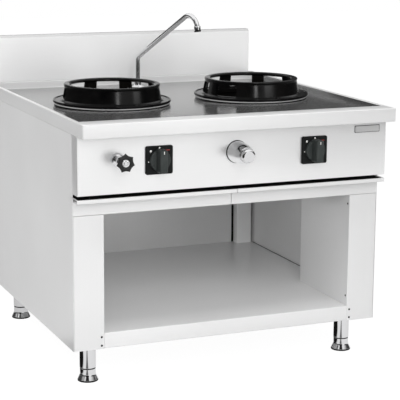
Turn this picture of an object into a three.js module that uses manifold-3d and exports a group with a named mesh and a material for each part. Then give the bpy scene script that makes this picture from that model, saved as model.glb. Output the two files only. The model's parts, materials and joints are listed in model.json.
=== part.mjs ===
// A stainless steel wok range with two gas burners, an open cabinet and a swivel tap.
// Millimetres. X to the right, Y to the rear, Z up. Y = 0 is the cabinet's front face while the
// pieces are made; the whole range is then moved so that its origin is on the floor at the
// middle of its outline.
import * as THREE from "three";
import { mergeVertices } from "three/addons/utils/BufferGeometryUtils.js";
import Module from "manifold-3d";

const wasm = await Module();
wasm.setup();

// Overall sizes
const width = 1100;
const worktopHeight = 885;
const depth = 1040;
const seat = 0.3; // left between pieces that rest on each other
const over = 1; // how far a cut runs past the faces it opens
const breakEdge = 1; // fine chamfer on turned metal
const castEdge = 2; // rounded edge of a casting or moulding
const sidesWide = 40; // flats round the rings and bowls
const sidesMid = 32;
const sidesSmall = 24;
const sidesFew = 12;
const sidesPipe = 8;

// Cabinet
const legHeight = 130;
const sheet = 1.5;
const flange = 15;
const sideInset = 1; // side panel's outer face behind the worktop's end
const columnWidth = 105;
const columnDepth = 364;
const shelfLipHeight = 53;
const shelfFlange = 20;
const railHeight = 48;
const railReturn = 40;
const railLipReturn = 20;
const lipHeight = 13;
const lipReach = 25; // of the lip's top behind the cabinet's front
const shadowGap = 12;
const beamWidth = 88;
const postWidth = 43;
const postDepth = 36;
const postFlange = 21;
const postInset = 10; // from the side panel's inner face
const airHoleRadius = 52;
const floorUpstand = 12;

// Control panel
const panelReach = 49; // in front of the cabinet
const panelHeight = 190;
const panelReturn = 18;
const nameplateWidth = 95;
const nameplateHeight = 24;
const nameplateThickness = 1.5;
const nameplateInset = 73; // its middle from the cabinet's side
const nameplateDrop = 28; // its middle below the panel's top edge

// Worktop and backsplash
const worktopSheet = 2;
const fasciaHeight = 45;
const fasciaReach = 62; // in front of the control panel
const fasciaReturn = 14;
const rimSide = 14;
const rimFront = 75;
const floorDropFront = 10;
const floorDropRear = 27;
const burnerHoleRadius = 165;
const splashThickness = 30;
const splashHeight = 165;
const splashInset = 30;

// Wok rings, their seats and the burners under them
const wokX = 264;
const wokY = 430;
const seatTop = 7; // of the seat ring below the worktop's rim
const seatRadius = 200;
const seatBore = 150;
const collarWall = 12;
const collarDrop = 30;
const ringFlangeRadius = 204;
const ringFlangeThickness = 9;
const ringRidge = 3;
const ringRidgeWidth = 7;
const ringHeight = 62.5;
const ringConeFoot = 179;
const ringRimRadius = 169;
const ringMouth = 143;
const ringWall = 9;
const ringBead = 7;
const beadSteps = 3;
const ringFoot = 6; // fillet between the flange and the cone
const mouthLip = 3; // upright edge of the mouth
const mouthSlope = 6; // the sloping mouth's underside, across and down
const spigotHeight = 9;
const spigotWall = 7;
const windowCount = 5;
const windowPitch = 45;
const windowAngle = 29;
const windowHeight = 35;
const firstWindowLeft = -14;
const firstWindowRight = 33.5;
const lugAngle = 275;
const lugSize = 14;
const lugHeight = 8;
const bowlRadius = 175;
const bowlFlangeRadius = 188;
const bowlHeight = 118;
const bowlShoulder = 56;
const bowlCone = 18;
const bowlBore = 56;
const bowlWall = 2;
const burnerHeadRadius = 48;
const burnerHeadHeight = 50;
const burnerFlangeRadius = 70;
const burnerFlangeThickness = 6;
const mixerRadius = 14;
const mixerLength = 54;
const mixerMouth = 19;
const portRingWidth = 9;
const pilotRadius = 5;
const pilotHeight = 46;
const pilotCap = 6;
const pilotAngle = 135;

// Gas line
const gasDrop = 88; // the gas taps' axes below the control panel's top
const manifoldY = 40;
const manifoldRadius = 13;
const manifoldEnd = 34; // closed end past the left gas tap
const gasRunInset = 49;
const gasTapRadius = 18;
const spindleRadius = 4;
const spindleBoreDepth = 28;
const feedRadius = 6;
const feedDrop = 80; // the level run below the gas taps
const feedCorner = 12;
const manifoldCorner = 48;

// Burner knobs
const knobX = 276;
const plateSize = 92;
const plateThickness = 8;
const plateCorner = 6;
const cornerSteps = 4;
const spindleHole = 9;
const knobRadius = 35;
const knobDisc = 10;
const gripWidth = 27;
const gripLength = 75;
const gripFront = 50; // front of the grip from the panel

// Stop valve and push valve
const waterDrop = 78; // the valves' axes below the control panel's top
const stopInset = 133;
const stopBodyRadius = 16;
const stopBodyLength = 57;
const rosetteRadius = 22;
const rosetteDepth = 13;
const bonnetRadius = 11;
const bonnetReach = 60;
const stemRadius = 5;
const stemDepth = 12;
const wheelRadius = 32;
const wheelLobes = 7;
const lobeSteps = 8;
const wheelScallop = 6;
const wheelThickness = 14;
const wheelHubRadius = 12;
const wheelHubLength = 12;
const wheelDish = 15;
const wheelDishDepth = 4;
const pushX = -4;
const pushBodyRadius = 18;
const pushBodyLength = 57;
const bellRadius = 40;
const bellFrontRadius = 27;
const bellReach = 80;
const bellWaist = 20;
const bellWaistRadius = 30;
const buttonRadius = 23;
const buttonReach = 100;
const buttonLength = 36;
const buttonTravel = 8;

// Tap and water pipes
const tapToSplash = 123;
const tapFlangeRadius = 24;
const tapFlangeThickness = 5;
const tapBodyRadius = 14;
const tapBodyHeight = 34;
const shankRadius = 12;
const shankLength = 34;
const spoutRadius = 9;
const spoutRise = 114; // of the bend above the recess floor at the tap
const spoutRun = 296; // level reach of the straight stretch
const spoutSlope = 30; // degrees
const hookRadius = 50;
const hookEnd = 82; // degrees below level
const hookSteps = 10;
const spoutCorner = 12;
const spoutTurn = -75; // degrees from the +X axis, at rest
const nozzleRadius = 11.5;
const nozzleLength = 20;
const waterRadius = 7;
const supplyInset = 49;
const supplyY = 66;
const linkY = -25;
const linkDrop = 72; // the link pipe's run below the valves
const riserRise = 43; // the tap's pipe above the valves
const pipeCorner = 24;
const riserCorner = 14;

// Legs
const legFrontY = 90;
const legRear = 147; // from the rear edge
const legInset = 76;
const legRadius = 25.5;
const legPlate = 84;
const legPlateThickness = 4;
const jointHeight = 37;
const threadRadius = 6;
const threadLength = 62;
const threadBore = 80;
const footNeck = 20;
const footFlare = 32;
const footBell = 22; // flare above the pad
const footSlope = 7;
const collarHeight = 3; // under the leg's end
const padRadius = 31;
const padHeight = 5;

// Places that follow from the sizes above
const halfBody = width / 2 - sideInset;
const nameplateX = halfBody - nameplateInset;
const legX = halfBody - legInset;
const stopX = -(halfBody - stopInset);
const supplyX = -(halfBody - supplyInset);
const gasRunX = halfBody - gasRunInset;
const sideInner = halfBody - sheet;
const insideX = sideInner - seat;
const underTop = worktopHeight - fasciaHeight;
const bodyTop = underTop - seat;
const gasZ = bodyTop - gasDrop;
const waterZ = bodyTop - waterDrop;
const feedLevel = gasZ - feedDrop;
const linkLevel = waterZ - linkDrop;
const riserLevel = waterZ + riserRise;
const panelBottom = bodyTop - panelHeight;
const lipTop = panelBottom - shadowGap;
const lipBottom = lipTop - lipHeight;
const railTop = lipBottom - seat;
const railBottom = railTop - railHeight;
const columnTop = railBottom - seat;
const openingHalf = halfBody - columnWidth;
const shelfTop = legHeight + shelfLipHeight;
const panelFront = -panelReach;
const panelInner = panelFront + sheet;
const fittingFace = panelFront - seat;
const behindPanel = panelInner + seat;
const fasciaFront = panelFront - fasciaReach;
const splashFront = depth - splashThickness;
const tapY = splashFront - tapToSplash;
const recessFront = fasciaFront + rimFront;
const recessHalf = width / 2 - rimSide;
const backPlate = depth - sheet - seat - sheet; // rear panels' front face
const seatZ = worktopHeight - seatTop;
const ringZ = seatZ + seat;
const floorBottom = railTop + seat;
const boxFloorTop = floorBottom + sheet;

// Height of the recess floor at a distance Y behind the cabinet's front
function recessFloor(y) {
  const share = (y - recessFront) / (splashFront - recessFront);
  return worktopHeight - floorDropFront - share * (floorDropRear - floorDropFront);
}

const steel = (name, color, roughness, metalness = 1) =>
  new THREE.MeshStandardMaterial({ name, color, roughness, metalness });
const satinSteel = steel("satin_steel", 0xc9c9ca, 0.38);
const worktopSteel = steel("worktop_steel", 0xbdbdbe, 0.32);
const chrome = steel("chrome", 0xe4e5e6, 0.06);
const castIron = steel("black_cast_iron", 0x141414, 0.35, 0.3);
const burnerIron = steel("burner_iron", 0x2b2a29, 0.7, 0.5);
const darkPlastic = steel("dark_plastic", 0x3c3d3d, 0.5, 0);
const blackRubber = steel("black_rubber", 0x101010, 0.8, 0);
const brass = steel("brass", 0xb8964a, 0.35);
const pipeSteel = steel("pipe_steel", 0xa8a9ab, 0.4);

const range = new THREE.Group();
range.name = "wok_range";

// The manifold-3d solid of a closed geometry, turned to face out
function solid(geometry) {
  const bare = geometry.index ? geometry.toNonIndexed() : geometry.clone();
  bare.deleteAttribute("normal");
  bare.deleteAttribute("uv");
  const merged = mergeVertices(bare);
  const place = merged.attributes.position;
  const corners = [];
  let volume = 0;
  const [a, b, c] = [new THREE.Vector3(), new THREE.Vector3(), new THREE.Vector3()];
  for (let i = 0; i < merged.index.count; i += 3) {
    const [p, q, r] = [0, 1, 2].map((k) => merged.index.getX(i + k));
    if (p === q || q === r || r === p) continue;
    corners.push(p, q, r);
    a.fromBufferAttribute(place, p);
    b.fromBufferAttribute(place, q);
    c.fromBufferAttribute(place, r);
    volume += a.dot(b.cross(c));
  }
  if (volume < 0) corners.reverse();
  return new wasm.Manifold(
    new wasm.Mesh({
      numProp: 3,
      vertProperties: new Float32Array(place.array),
      triVerts: new Uint32Array(corners),
    }),
  );
}

// Adds a solid to the range as a named piece
function piece(name, made, material) {
  const mesh = made.getMesh();
  const geometry = new THREE.BufferGeometry();
  geometry.setAttribute("position", new THREE.BufferAttribute(mesh.vertProperties, 3));
  geometry.setIndex(new THREE.BufferAttribute(mesh.triVerts, 1));
  geometry.computeVertexNormals();
  const node = new THREE.Mesh(geometry, material);
  node.name = name;
  range.add(node);
}

// A piece made for the right-hand side, mirrored for the left
function sidePiece(name, side, made, material) {
  piece(name, side < 0 ? made.mirror([1, 0, 0]) : made, material);
}

function block(x0, x1, y0, y1, z0, z1) {
  const geometry = new THREE.BoxGeometry(x1 - x0, y1 - y0, z1 - z0);
  geometry.translate((x0 + x1) / 2, (y0 + y1) / 2, (z0 + z1) / 2);
  return solid(geometry);
}

// An outline of [x, y], [x, z] or [y, z] points, drawn out along the axis square to it
function prism(outline, axis, start, end) {
  const shape = new THREE.Shape(outline.map(([u, v]) => new THREE.Vector2(u, v)));
  return extruded(shape, axis, start, end);
}

function extruded(shape, axis, start, end, curveSegments = 1) {
  const geometry = new THREE.ExtrudeGeometry(shape, {
    depth: end - start,
    bevelEnabled: false,
    curveSegments,
  });
  geometry.translate(0, 0, start);
  const turn = new THREE.Matrix4();
  if (axis === "x") turn.set(0, 0, 1, 0, 1, 0, 0, 0, 0, 1, 0, 0, 0, 0, 0, 1);
  if (axis === "y") turn.set(1, 0, 0, 0, 0, 0, 1, 0, 0, 1, 0, 0, 0, 0, 0, 1);
  geometry.applyMatrix4(turn);
  return solid(geometry);
}

// A profile of [radius, height] points turned about a vertical axis at x, y
function turned(profile, x, y, segments = sidesMid) {
  const points = profile.map(([r, z]) => new THREE.Vector2(r, z));
  const geometry = new THREE.LatheGeometry(points, segments);
  geometry.rotateX(Math.PI / 2);
  geometry.translate(x, y, 0);
  return solid(geometry);
}

// A profile of [radius, y] points turned about an axis that runs front to rear at x, z
function turnedAlongY(profile, x, z, segments = sidesSmall) {
  const points = profile.map(([r, y]) => new THREE.Vector2(r, y));
  const geometry = new THREE.LatheGeometry(points, segments);
  geometry.translate(x, 0, z);
  return solid(geometry);
}

// Radius and height points of a ring's section, closed on itself
const closed = (profile) => [...profile, profile[0]];

// A path through stations: the ends of straight runs and a few points round each corner
class StationPath extends THREE.Curve {
  constructor(stations) {
    super();
    this.stations = stations;
  }
  getPoint(t, target = new THREE.Vector3()) {
    const place = t * (this.stations.length - 1);
    const i = Math.min(Math.floor(place), this.stations.length - 2);
    return target.lerpVectors(this.stations[i], this.stations[i + 1], place - i);
  }
  getPointAt(u, target) {
    return this.getPoint(u, target);
  }
  getTangentAt(u, target = new THREE.Vector3()) {
    const last = this.stations.length - 1;
    const i = Math.round(u * last);
    const next = this.stations[Math.min(i + 1, last)];
    return target.subVectors(next, this.stations[Math.max(i - 1, 0)]).normalize();
  }
}

// A round bar through stations
function bar(stations, radius, sidesRound = sidesPipe) {
  const section = new THREE.Shape();
  section.absarc(0, 0, radius, 0, 2 * Math.PI);
  const geometry = new THREE.ExtrudeGeometry(section, {
    extrudePath: new StationPath(stations),
    steps: stations.length - 1,
    curveSegments: sidesRound / 2,
  });
  return solid(geometry);
}

// Stations along straight runs whose corners are rounded
function route(points, corner = pipeCorner) {
  const stops = points.map((p) => new THREE.Vector3(...p));
  const stations = [stops[0]];
  for (let i = 1; i < stops.length - 1; i++) {
    const back = stops[i - 1].clone().sub(stops[i]).setLength(corner);
    const ahead = stops[i + 1].clone().sub(stops[i]).setLength(corner);
    const bend = new THREE.QuadraticBezierCurve3(
      stops[i].clone().add(back),
      stops[i],
      stops[i].clone().add(ahead),
    );
    stations.push(...bend.getPoints(cornerSteps));
  }
  return [...stations, stops[stops.length - 1]];
}

const sides = [
  ["left", -1],
  ["right", 1],
];

function makeWorktop() {
  const half = width / 2;
  const top = worktopHeight - worktopSheet;
  const tray = block(-half, half, fasciaFront, depth, underTop, worktopHeight);
  const hollow = block(
    -half + worktopSheet,
    half - worktopSheet,
    fasciaFront + worktopSheet,
    depth - worktopSheet,
    underTop - over,
    top,
  );
  const lowFront = recessFloor(recessFront);
  const lowRear = recessFloor(splashFront);
  const recess = prism(
    [
      [recessFront, worktopHeight + over],
      [recessFront, lowFront],
      [splashFront, lowRear],
      [splashFront, worktopHeight + over],
    ],
    "x",
    -recessHalf,
    recessHalf,
  );
  const pan = prism(
    [
      [recessFront - worktopSheet, top + worktopSheet / 2],
      [recessFront - worktopSheet, lowFront - worktopSheet],
      [splashFront + worktopSheet, lowRear - worktopSheet],
      [splashFront + worktopSheet, top + worktopSheet / 2],
    ],
    "x",
    -recessHalf - worktopSheet,
    recessHalf + worktopSheet,
  );
  const frontReturn = block(
    -half + worktopSheet / 2,
    half - worktopSheet / 2,
    fasciaFront + worktopSheet / 2,
    fasciaFront + fasciaReturn,
    underTop,
    underTop + worktopSheet,
  );
  let made = tray.subtract(hollow).add(pan).subtract(recess).add(frontReturn);
  for (const [, side] of sides) {
    const hole = [
      [0, underTop],
      [burnerHoleRadius, underTop],
      [burnerHoleRadius, worktopHeight],
      [0, worktopHeight],
    ];
    made = made.subtract(turned(hole, side * wokX, wokY, sidesWide));
  }
  const tapHole = shankRadius + seat;
  const opening = [
    [0, underTop],
    [tapHole, underTop],
    [tapHole, worktopHeight],
    [0, worktopHeight],
  ];
  piece("worktop", made.subtract(turned(opening, 0, tapY, sidesSmall)), worktopSteel);
}

function makeBacksplash() {
  const half = width / 2 - splashInset;
  const bottom = worktopHeight + seat;
  const top = worktopHeight + splashHeight;
  const outside = block(-half, half, splashFront, depth, bottom, top);
  const inside = block(
    -half + sheet,
    half - sheet,
    splashFront + sheet,
    depth - sheet,
    bottom - over,
    top - sheet,
  );
  piece("backsplash", outside.subtract(inside), satinSteel);
}

function makeSidePanel(name, side) {
  const folded = sideInner - flange;
  const joined = sideInner + sheet / 2;
  const columnRear = columnDepth + 2 * seat;
  const wall = block(sideInner, halfBody, 0, depth, legHeight, bodyTop);
  const low = block(folded, joined, columnRear, depth, legHeight, legHeight + sheet);
  const high = block(folded, joined, railReturn, backPlate - seat, bodyTop - sheet, bodyTop);
  const rear = block(folded, joined, depth - sheet, depth, legHeight, bodyTop);
  sidePiece(name, side, wall.add(low).add(high).add(rear), satinSteel);
}

// Box column behind a stile: front face, inner face, rear face and a bottom plate for the leg
function makeColumn(name, side) {
  const outline = [
    [openingHalf, 0],
    [insideX, 0],
    [insideX, flange],
    [insideX - sheet, flange],
    [insideX - sheet, sheet],
    [openingHalf + sheet, sheet],
    [openingHalf + sheet, columnDepth - sheet],
    [insideX, columnDepth - sheet],
    [insideX, columnDepth],
    [openingHalf, columnDepth],
  ];
  const skin = prism(outline, "z", legHeight, columnTop);
  const base = block(
    openingHalf + sheet / 2,
    insideX - sheet / 2,
    sheet / 2,
    columnDepth - sheet / 2,
    legHeight,
    legHeight + sheet,
  );
  sidePiece(name, side, skin.add(base), satinSteel);
}

function makeRail(name, side) {
  const profile = [
    [0, railBottom],
    [railLipReturn, railBottom],
    [railLipReturn, railBottom + sheet],
    [sheet, railBottom + sheet],
    [sheet, railTop - sheet],
    [railReturn, railTop - sheet],
    [railReturn, railTop],
    [0, railTop],
  ];
  sidePiece(name, side, prism(profile, "x", seat / 2, insideX), satinSteel);
}

// Thin lip below the shadow gap: front edge, top sheet and a rear leg that stands on the rail
function makeLip(name, side) {
  const profile = [
    [panelFront, lipBottom],
    [panelFront + flange, lipBottom],
    [panelFront + flange, lipBottom + sheet],
    [panelInner, lipBottom + sheet],
    [panelInner, lipTop - sheet],
    [lipReach - sheet, lipTop - sheet],
    [lipReach - sheet, lipBottom],
    [lipReach, lipBottom],
    [lipReach, lipTop],
    [panelFront, lipTop],
  ];
  const notch = block(insideX, halfBody + over, -seat, depth, lipBottom - over, lipTop + over);
  const made = prism(profile, "x", seat / 2, halfBody).subtract(notch);
  sidePiece(name, side, made, satinSteel);
}

// A drilled hole along Y through the control panel
function panelHole(x, z, radius) {
  const profile = [
    [0, panelFront - over],
    [radius, panelFront - over],
    [radius, panelInner + over],
    [0, panelInner + over],
  ];
  return turnedAlongY(profile, x, z);
}

function makeControlPanel() {
  const rear = -seat;
  const outside = block(-halfBody, halfBody, panelFront, rear, panelBottom, bodyTop);
  const inside = block(
    -halfBody + sheet,
    halfBody - sheet,
    panelInner,
    rear + over,
    panelBottom + sheet,
    bodyTop - sheet,
  );
  const open = block(
    -halfBody + sheet,
    halfBody - sheet,
    panelInner + panelReturn,
    rear + over,
    panelBottom - over,
    bodyTop + over,
  );
  let made = outside.subtract(inside).subtract(open);
  made = made.subtract(panelHole(stopX, waterZ, bonnetRadius + seat));
  made = made.subtract(panelHole(pushX, waterZ, pushBodyRadius - sheet + seat));
  for (const [, side] of sides) {
    made = made.subtract(panelHole(side * knobX, gasZ, spindleHole));
  }
  piece("control_panel", made, satinSteel);

  const plateZ = bodyTop - nameplateDrop;
  const plate = block(
    nameplateX - nameplateWidth / 2,
    nameplateX + nameplateWidth / 2,
    fittingFace - nameplateThickness,
    fittingFace,
    plateZ - nameplateHeight / 2,
    plateZ + nameplateHeight / 2,
  );
  piece("nameplate", plate, chrome);
}

function makeRearAndFloors() {
  const low = block(-insideX, insideX, backPlate, backPlate + sheet, legHeight + sheet + seat, railTop);
  piece("rear_panel_lower", low, satinSteel);

  const high = block(-insideX, insideX, backPlate, backPlate + sheet, floorBottom, bodyTop);
  const gasHole = drilledRear(gasRunX, gasZ, manifoldRadius + seat);
  const waterHole = drilledRear(supplyX, waterZ, waterRadius + seat);
  piece("rear_panel_upper", high.subtract(gasHole).subtract(waterHole), satinSteel);

  const start = lipReach + seat;
  const end = backPlate - seat;
  const upstand = boxFloorTop + floorUpstand;
  const outside = block(-insideX, insideX, start, end, floorBottom, upstand);
  const inside = block(
    -insideX + sheet,
    insideX - sheet,
    start + sheet,
    end - sheet,
    boxFloorTop,
    upstand + over,
  );
  let floor = outside.subtract(inside);
  for (const [, side] of sides) {
    const hole = [
      [0, floorBottom - over],
      [airHoleRadius, floorBottom - over],
      [airHoleRadius, boxFloorTop + over],
      [0, boxFloorTop + over],
    ];
    floor = floor.subtract(turned(hole, side * wokX, wokY));
  }
  piece("burner_box_floor", floor, satinSteel);
}

function drilledRear(x, z, radius) {
  const profile = [
    [0, backPlate - over],
    [radius, backPlate - over],
    [radius, depth],
    [0, depth],
  ];
  return turnedAlongY(profile, x, z);
}

function makeShelf() {
  const narrow = openingHalf - seat;
  const wide = insideX;
  const columnRear = columnDepth + seat;
  const rear = backPlate - seat;
  const low = shelfTop - sheet;
  const front = block(-narrow, narrow, 0, rear, low, shelfTop);
  const back = block(-wide, wide, columnRear, rear, low, shelfTop);
  const hemZ = legHeight + breakEdge;
  const lip = block(-narrow, narrow, 0, sheet, hemZ, shelfTop);
  const hem = block(-narrow, narrow, 0, flange, hemZ, hemZ + sheet);
  const fold = block(wide - sheet, wide, columnRear, rear, legHeight + sheet + seat, shelfTop);
  const tail = block(-wide, wide, rear - sheet, rear, shelfTop - shelfFlange, shelfTop);
  const tray = front.add(back).add(lip).add(hem).add(tail);
  const made = tray.add(fold).add(fold.mirror([1, 0, 0]));
  piece("bottom_shelf", made, satinSteel);
}

// Channel under the shelf that carries a rear leg
function makeBeam(name, side) {
  const start = columnDepth + seat;
  const end = backPlate - seat - sheet - seat;
  const inner = openingHalf;
  const outer = inner + beamWidth;
  const top = shelfTop - sheet - seat;
  const profile = [
    [inner, legHeight],
    [outer, legHeight],
    [outer, top],
    [outer - flange, top],
    [outer - flange, top - sheet],
    [outer - sheet, top - sheet],
    [outer - sheet, legHeight + sheet],
    [inner + sheet, legHeight + sheet],
    [inner + sheet, top - sheet],
    [inner + flange, top - sheet],
    [inner + flange, top],
    [inner, top],
  ];
  sidePiece(name, side, prism(profile, "y", start, end), satinSteel);
}

function makeRearPost(name, side) {
  const outer = sideInner - postInset;
  const inner = outer - postWidth;
  const front = backPlate - seat - postDepth;
  const rear = backPlate - seat;
  const profile = [
    [inner - postFlange, rear - sheet],
    [inner, rear - sheet],
    [inner, front],
    [outer, front],
    [outer, rear],
    [outer - sheet, rear],
    [outer - sheet, front + sheet],
    [inner + sheet, front + sheet],
    [inner + sheet, rear],
    [inner - postFlange, rear],
  ];
  sidePiece(name, side, prism(profile, "z", shelfTop + seat, railTop), satinSteel);
}

// Black seat ring: a level top on the sloping recess floor, with a collar down the hole
function makeSeatRing(name, side) {
  const x = side * wokX;
  const y = wokY;
  const disc = turned(
    closed([
      [seatBore, seatZ - collarDrop],
      [seatRadius, seatZ - collarDrop],
      [seatRadius, seatZ],
      [seatBore, seatZ],
    ]),
    x,
    y,
    sidesWide,
  );
  const reach = seatRadius + over;
  const under = prism(
    [
      [y - reach, seatZ - 2 * collarDrop],
      [y + reach, seatZ - 2 * collarDrop],
      [y + reach, recessFloor(y + reach) + seat],
      [y - reach, recessFloor(y - reach) + seat],
    ],
    "x",
    x - reach,
    x + reach,
  );
  const collar = turned(
    closed([
      [seatBore, seatZ - collarDrop],
      [seatBore + collarWall, seatZ - collarDrop],
      [seatBore + collarWall, seatZ],
      [seatBore, seatZ],
    ]),
    x,
    y,
    sidesWide,
  );
  piece(name, disc.subtract(under).add(collar), castIron);
}

// Black wok ring: flange with a ridge, cone, rounded rim with a sloping mouth, a spigot that
// drops into the seat ring, windows at its rear and a lug at its front
function makeWokRing(name, side, firstWindow) {
  const x = side * wokX;
  const y = wokY;
  const low = ringZ;
  const plate = low + ringFlangeThickness;
  const top = low + ringHeight;
  const spigot = seatBore - 2 * seat;
  const bead = [];
  for (let i = 0; i <= beadSteps; i++) {
    const angle = (i / beadSteps) * (Math.PI / 2);
    const r = ringRimRadius - ringBead + ringBead * Math.cos(angle);
    bead.push([r, top - ringBead + ringBead * Math.sin(angle)]);
  }
  const profile = [
    [spigot - spigotWall, low - spigotHeight],
    [spigot, low - spigotHeight],
    [spigot, low],
    [ringFlangeRadius - castEdge, low],
    [ringFlangeRadius, low + castEdge],
    [ringFlangeRadius, plate + ringRidge - breakEdge],
    [ringFlangeRadius - castEdge, plate + ringRidge],
    [ringFlangeRadius - ringRidgeWidth + breakEdge, plate + ringRidge],
    [ringFlangeRadius - ringRidgeWidth, plate],
    [ringConeFoot + ringFoot, plate],
    [ringConeFoot, plate + ringFoot / 2],
    [ringConeFoot - ringFoot / 2, plate + 1.5 * ringFoot],
    ...bead,
    [ringMouth + castEdge, top - ringBead],
    [ringMouth, top - ringBead - mouthLip],
    [ringMouth + 2 * castEdge, top - ringBead - mouthLip - mouthSlope],
    [ringConeFoot - ringWall - mouthSlope, plate + windowHeight - ringWall],
    [ringConeFoot - ringWall, plate - breakEdge],
    [spigot - spigotWall, plate - breakEdge],
  ];
  let made = turned(closed(profile), x, y, sidesWide);
  const sill = plate + breakEdge;
  for (let i = 0; i < windowCount; i++) {
    const middle = firstWindow + i * windowPitch;
    made = made.subtract(sector(x, y, middle, windowAngle, sill, sill + windowHeight));
  }
  const lug = new THREE.BoxGeometry(lugSize, lugSize, lugHeight);
  lug.translate(ringFlangeRadius - ringRidgeWidth - lugSize / 2, 0, sill);
  lug.rotateZ(THREE.MathUtils.degToRad(lugAngle));
  lug.translate(x, y, 0);
  piece(name, made.add(solid(lug)), castIron);
}

// A wedge of a ring about x, y that spans an angle and lies between two heights
function sector(x, y, middle, angle, z0, z1) {
  const from = THREE.MathUtils.degToRad(middle - angle / 2);
  const to = THREE.MathUtils.degToRad(middle + angle / 2);
  const near = ringMouth - lugSize;
  const far = ringFlangeRadius + lugSize;
  const outline = [near, far].flatMap((r, i) => {
    const ends = i ? [to, from] : [from, to];
    return ends.map((a) => [x + r * Math.cos(a), y + r * Math.sin(a)]);
  });
  return prism(outline, "z", z0, z1);
}

function makeBurner(name, side) {
  const x = side * wokX;
  const y = wokY;
  const ceiling = recessFloor(y + bowlFlangeRadius) - worktopSheet - seat;
  const top = ceiling + 2 * flange;
  const low = ceiling - bowlHeight;
  const bowl = turned(
    closed([
      [bowlBore, low],
      [bowlRadius - bowlShoulder, low + bowlCone],
      [bowlRadius, low + bowlShoulder],
      [bowlRadius, ceiling - bowlWall],
      [bowlFlangeRadius, ceiling - bowlWall],
      [bowlFlangeRadius, top],
      [bowlRadius - bowlWall, top],
      [bowlRadius - bowlWall, low + bowlShoulder + bowlWall / 2],
      [bowlRadius - bowlShoulder - bowlWall / 2, low + bowlCone + bowlWall],
      [bowlBore, low + bowlWall],
    ]),
    x,
    y,
    sidesWide,
  );
  const reach = bowlFlangeRadius + over;
  const clear = worktopSheet + seat;
  const above = prism(
    [
      [y - reach, recessFloor(y - reach) - clear],
      [y + reach, recessFloor(y + reach) - clear],
      [y + reach, top + over],
      [y - reach, top + over],
    ],
    "x",
    x - reach,
    x + reach,
  );
  piece("burner_bowl_" + name, bowl.subtract(above), satinSteel);

  // The slope of the bowl's bottom cone sets how high the burner's flange sits
  const rise = (bowlCone / (bowlRadius - bowlShoulder - bowlBore)) * (burnerFlangeRadius - bowlBore);
  const rest = low + bowlWall + rise + seat;
  const flangeTop = rest + burnerFlangeThickness;
  const headTop = rest + burnerHeadHeight;
  const head = turned(
    [
      [0, rest - mixerLength],
      [mixerMouth, rest - mixerLength],
      [mixerRadius, rest - mixerLength + mixerMouth],
      [mixerRadius, rest - mixerRadius],
      [bowlBore - mixerRadius, rest],
      [burnerFlangeRadius, rest],
      [burnerFlangeRadius, flangeTop],
      [burnerHeadRadius, flangeTop + castEdge],
      [burnerHeadRadius, headTop - portRingWidth],
      [burnerHeadRadius - portRingWidth, headTop],
      [0, headTop],
    ],
    x,
    y,
    sidesSmall,
  );
  piece("burner_" + name, head, burnerIron);

  const pilotOut = (burnerHeadRadius + burnerFlangeRadius) / 2 + breakEdge;
  const pilotFoot = flangeTop + castEdge + seat;
  const pilotTop = flangeTop + pilotHeight;
  const turn = THREE.MathUtils.degToRad(pilotAngle);
  const pilot = turned(
    [
      [0, pilotFoot],
      [pilotRadius, pilotFoot],
      [pilotRadius, pilotTop - pilotCap - castEdge],
      [pilotRadius + castEdge, pilotTop - pilotCap],
      [pilotRadius + castEdge, pilotTop],
      [0, pilotTop],
    ],
    x + pilotOut * Math.cos(turn),
    y + pilotOut * Math.sin(turn),
    sidesFew,
  );
  piece("pilot_burner_" + name, pilot, brass);

  const outlet = [side * knobX, 0, gasZ - gasTapRadius - seat];
  const jet = [x, y, rest - mixerLength - seat];
  const path = route([outlet, [outlet[0], 0, feedLevel], [x, y, feedLevel], jet], feedCorner);
  piece("burner_feed_" + name, bar(path, feedRadius), brass);
}

function makeGasLine() {
  const path = route([
    [-knobX - manifoldEnd, manifoldY, gasZ],
    [gasRunX, manifoldY, gasZ],
    [gasRunX, depth, gasZ],
  ], manifoldCorner);
  piece("gas_manifold", bar(path, manifoldRadius, sidesFew), pipeSteel);
  for (const [name, side] of sides) {
    const rear = manifoldY - manifoldRadius - seat;
    const bore = spindleRadius + seat;
    const profile = [
      [0, behindPanel + spindleBoreDepth],
      [bore, behindPanel + spindleBoreDepth],
      [bore, behindPanel],
      [gasTapRadius, behindPanel],
      [gasTapRadius, rear - gasTapRadius],
      [gasTapRadius / 2, rear],
      [0, rear],
    ];
    piece("gas_tap_" + name, turnedAlongY(profile, side * knobX, gasZ, sidesSmall), brass);
  }
}

// An upright oblong with rounded corners, about the origin
function roundedOblong(wide, tall, corner) {
  const [u, v] = [wide / 2 - corner, tall / 2 - corner];
  const shape = new THREE.Shape();
  shape.absarc(u, v, corner, 0, Math.PI / 2);
  shape.absarc(-u, v, corner, Math.PI / 2, Math.PI);
  shape.absarc(-u, -v, corner, Math.PI, 1.5 * Math.PI);
  shape.absarc(u, -v, corner, -Math.PI / 2, 0);
  return shape;
}

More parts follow.
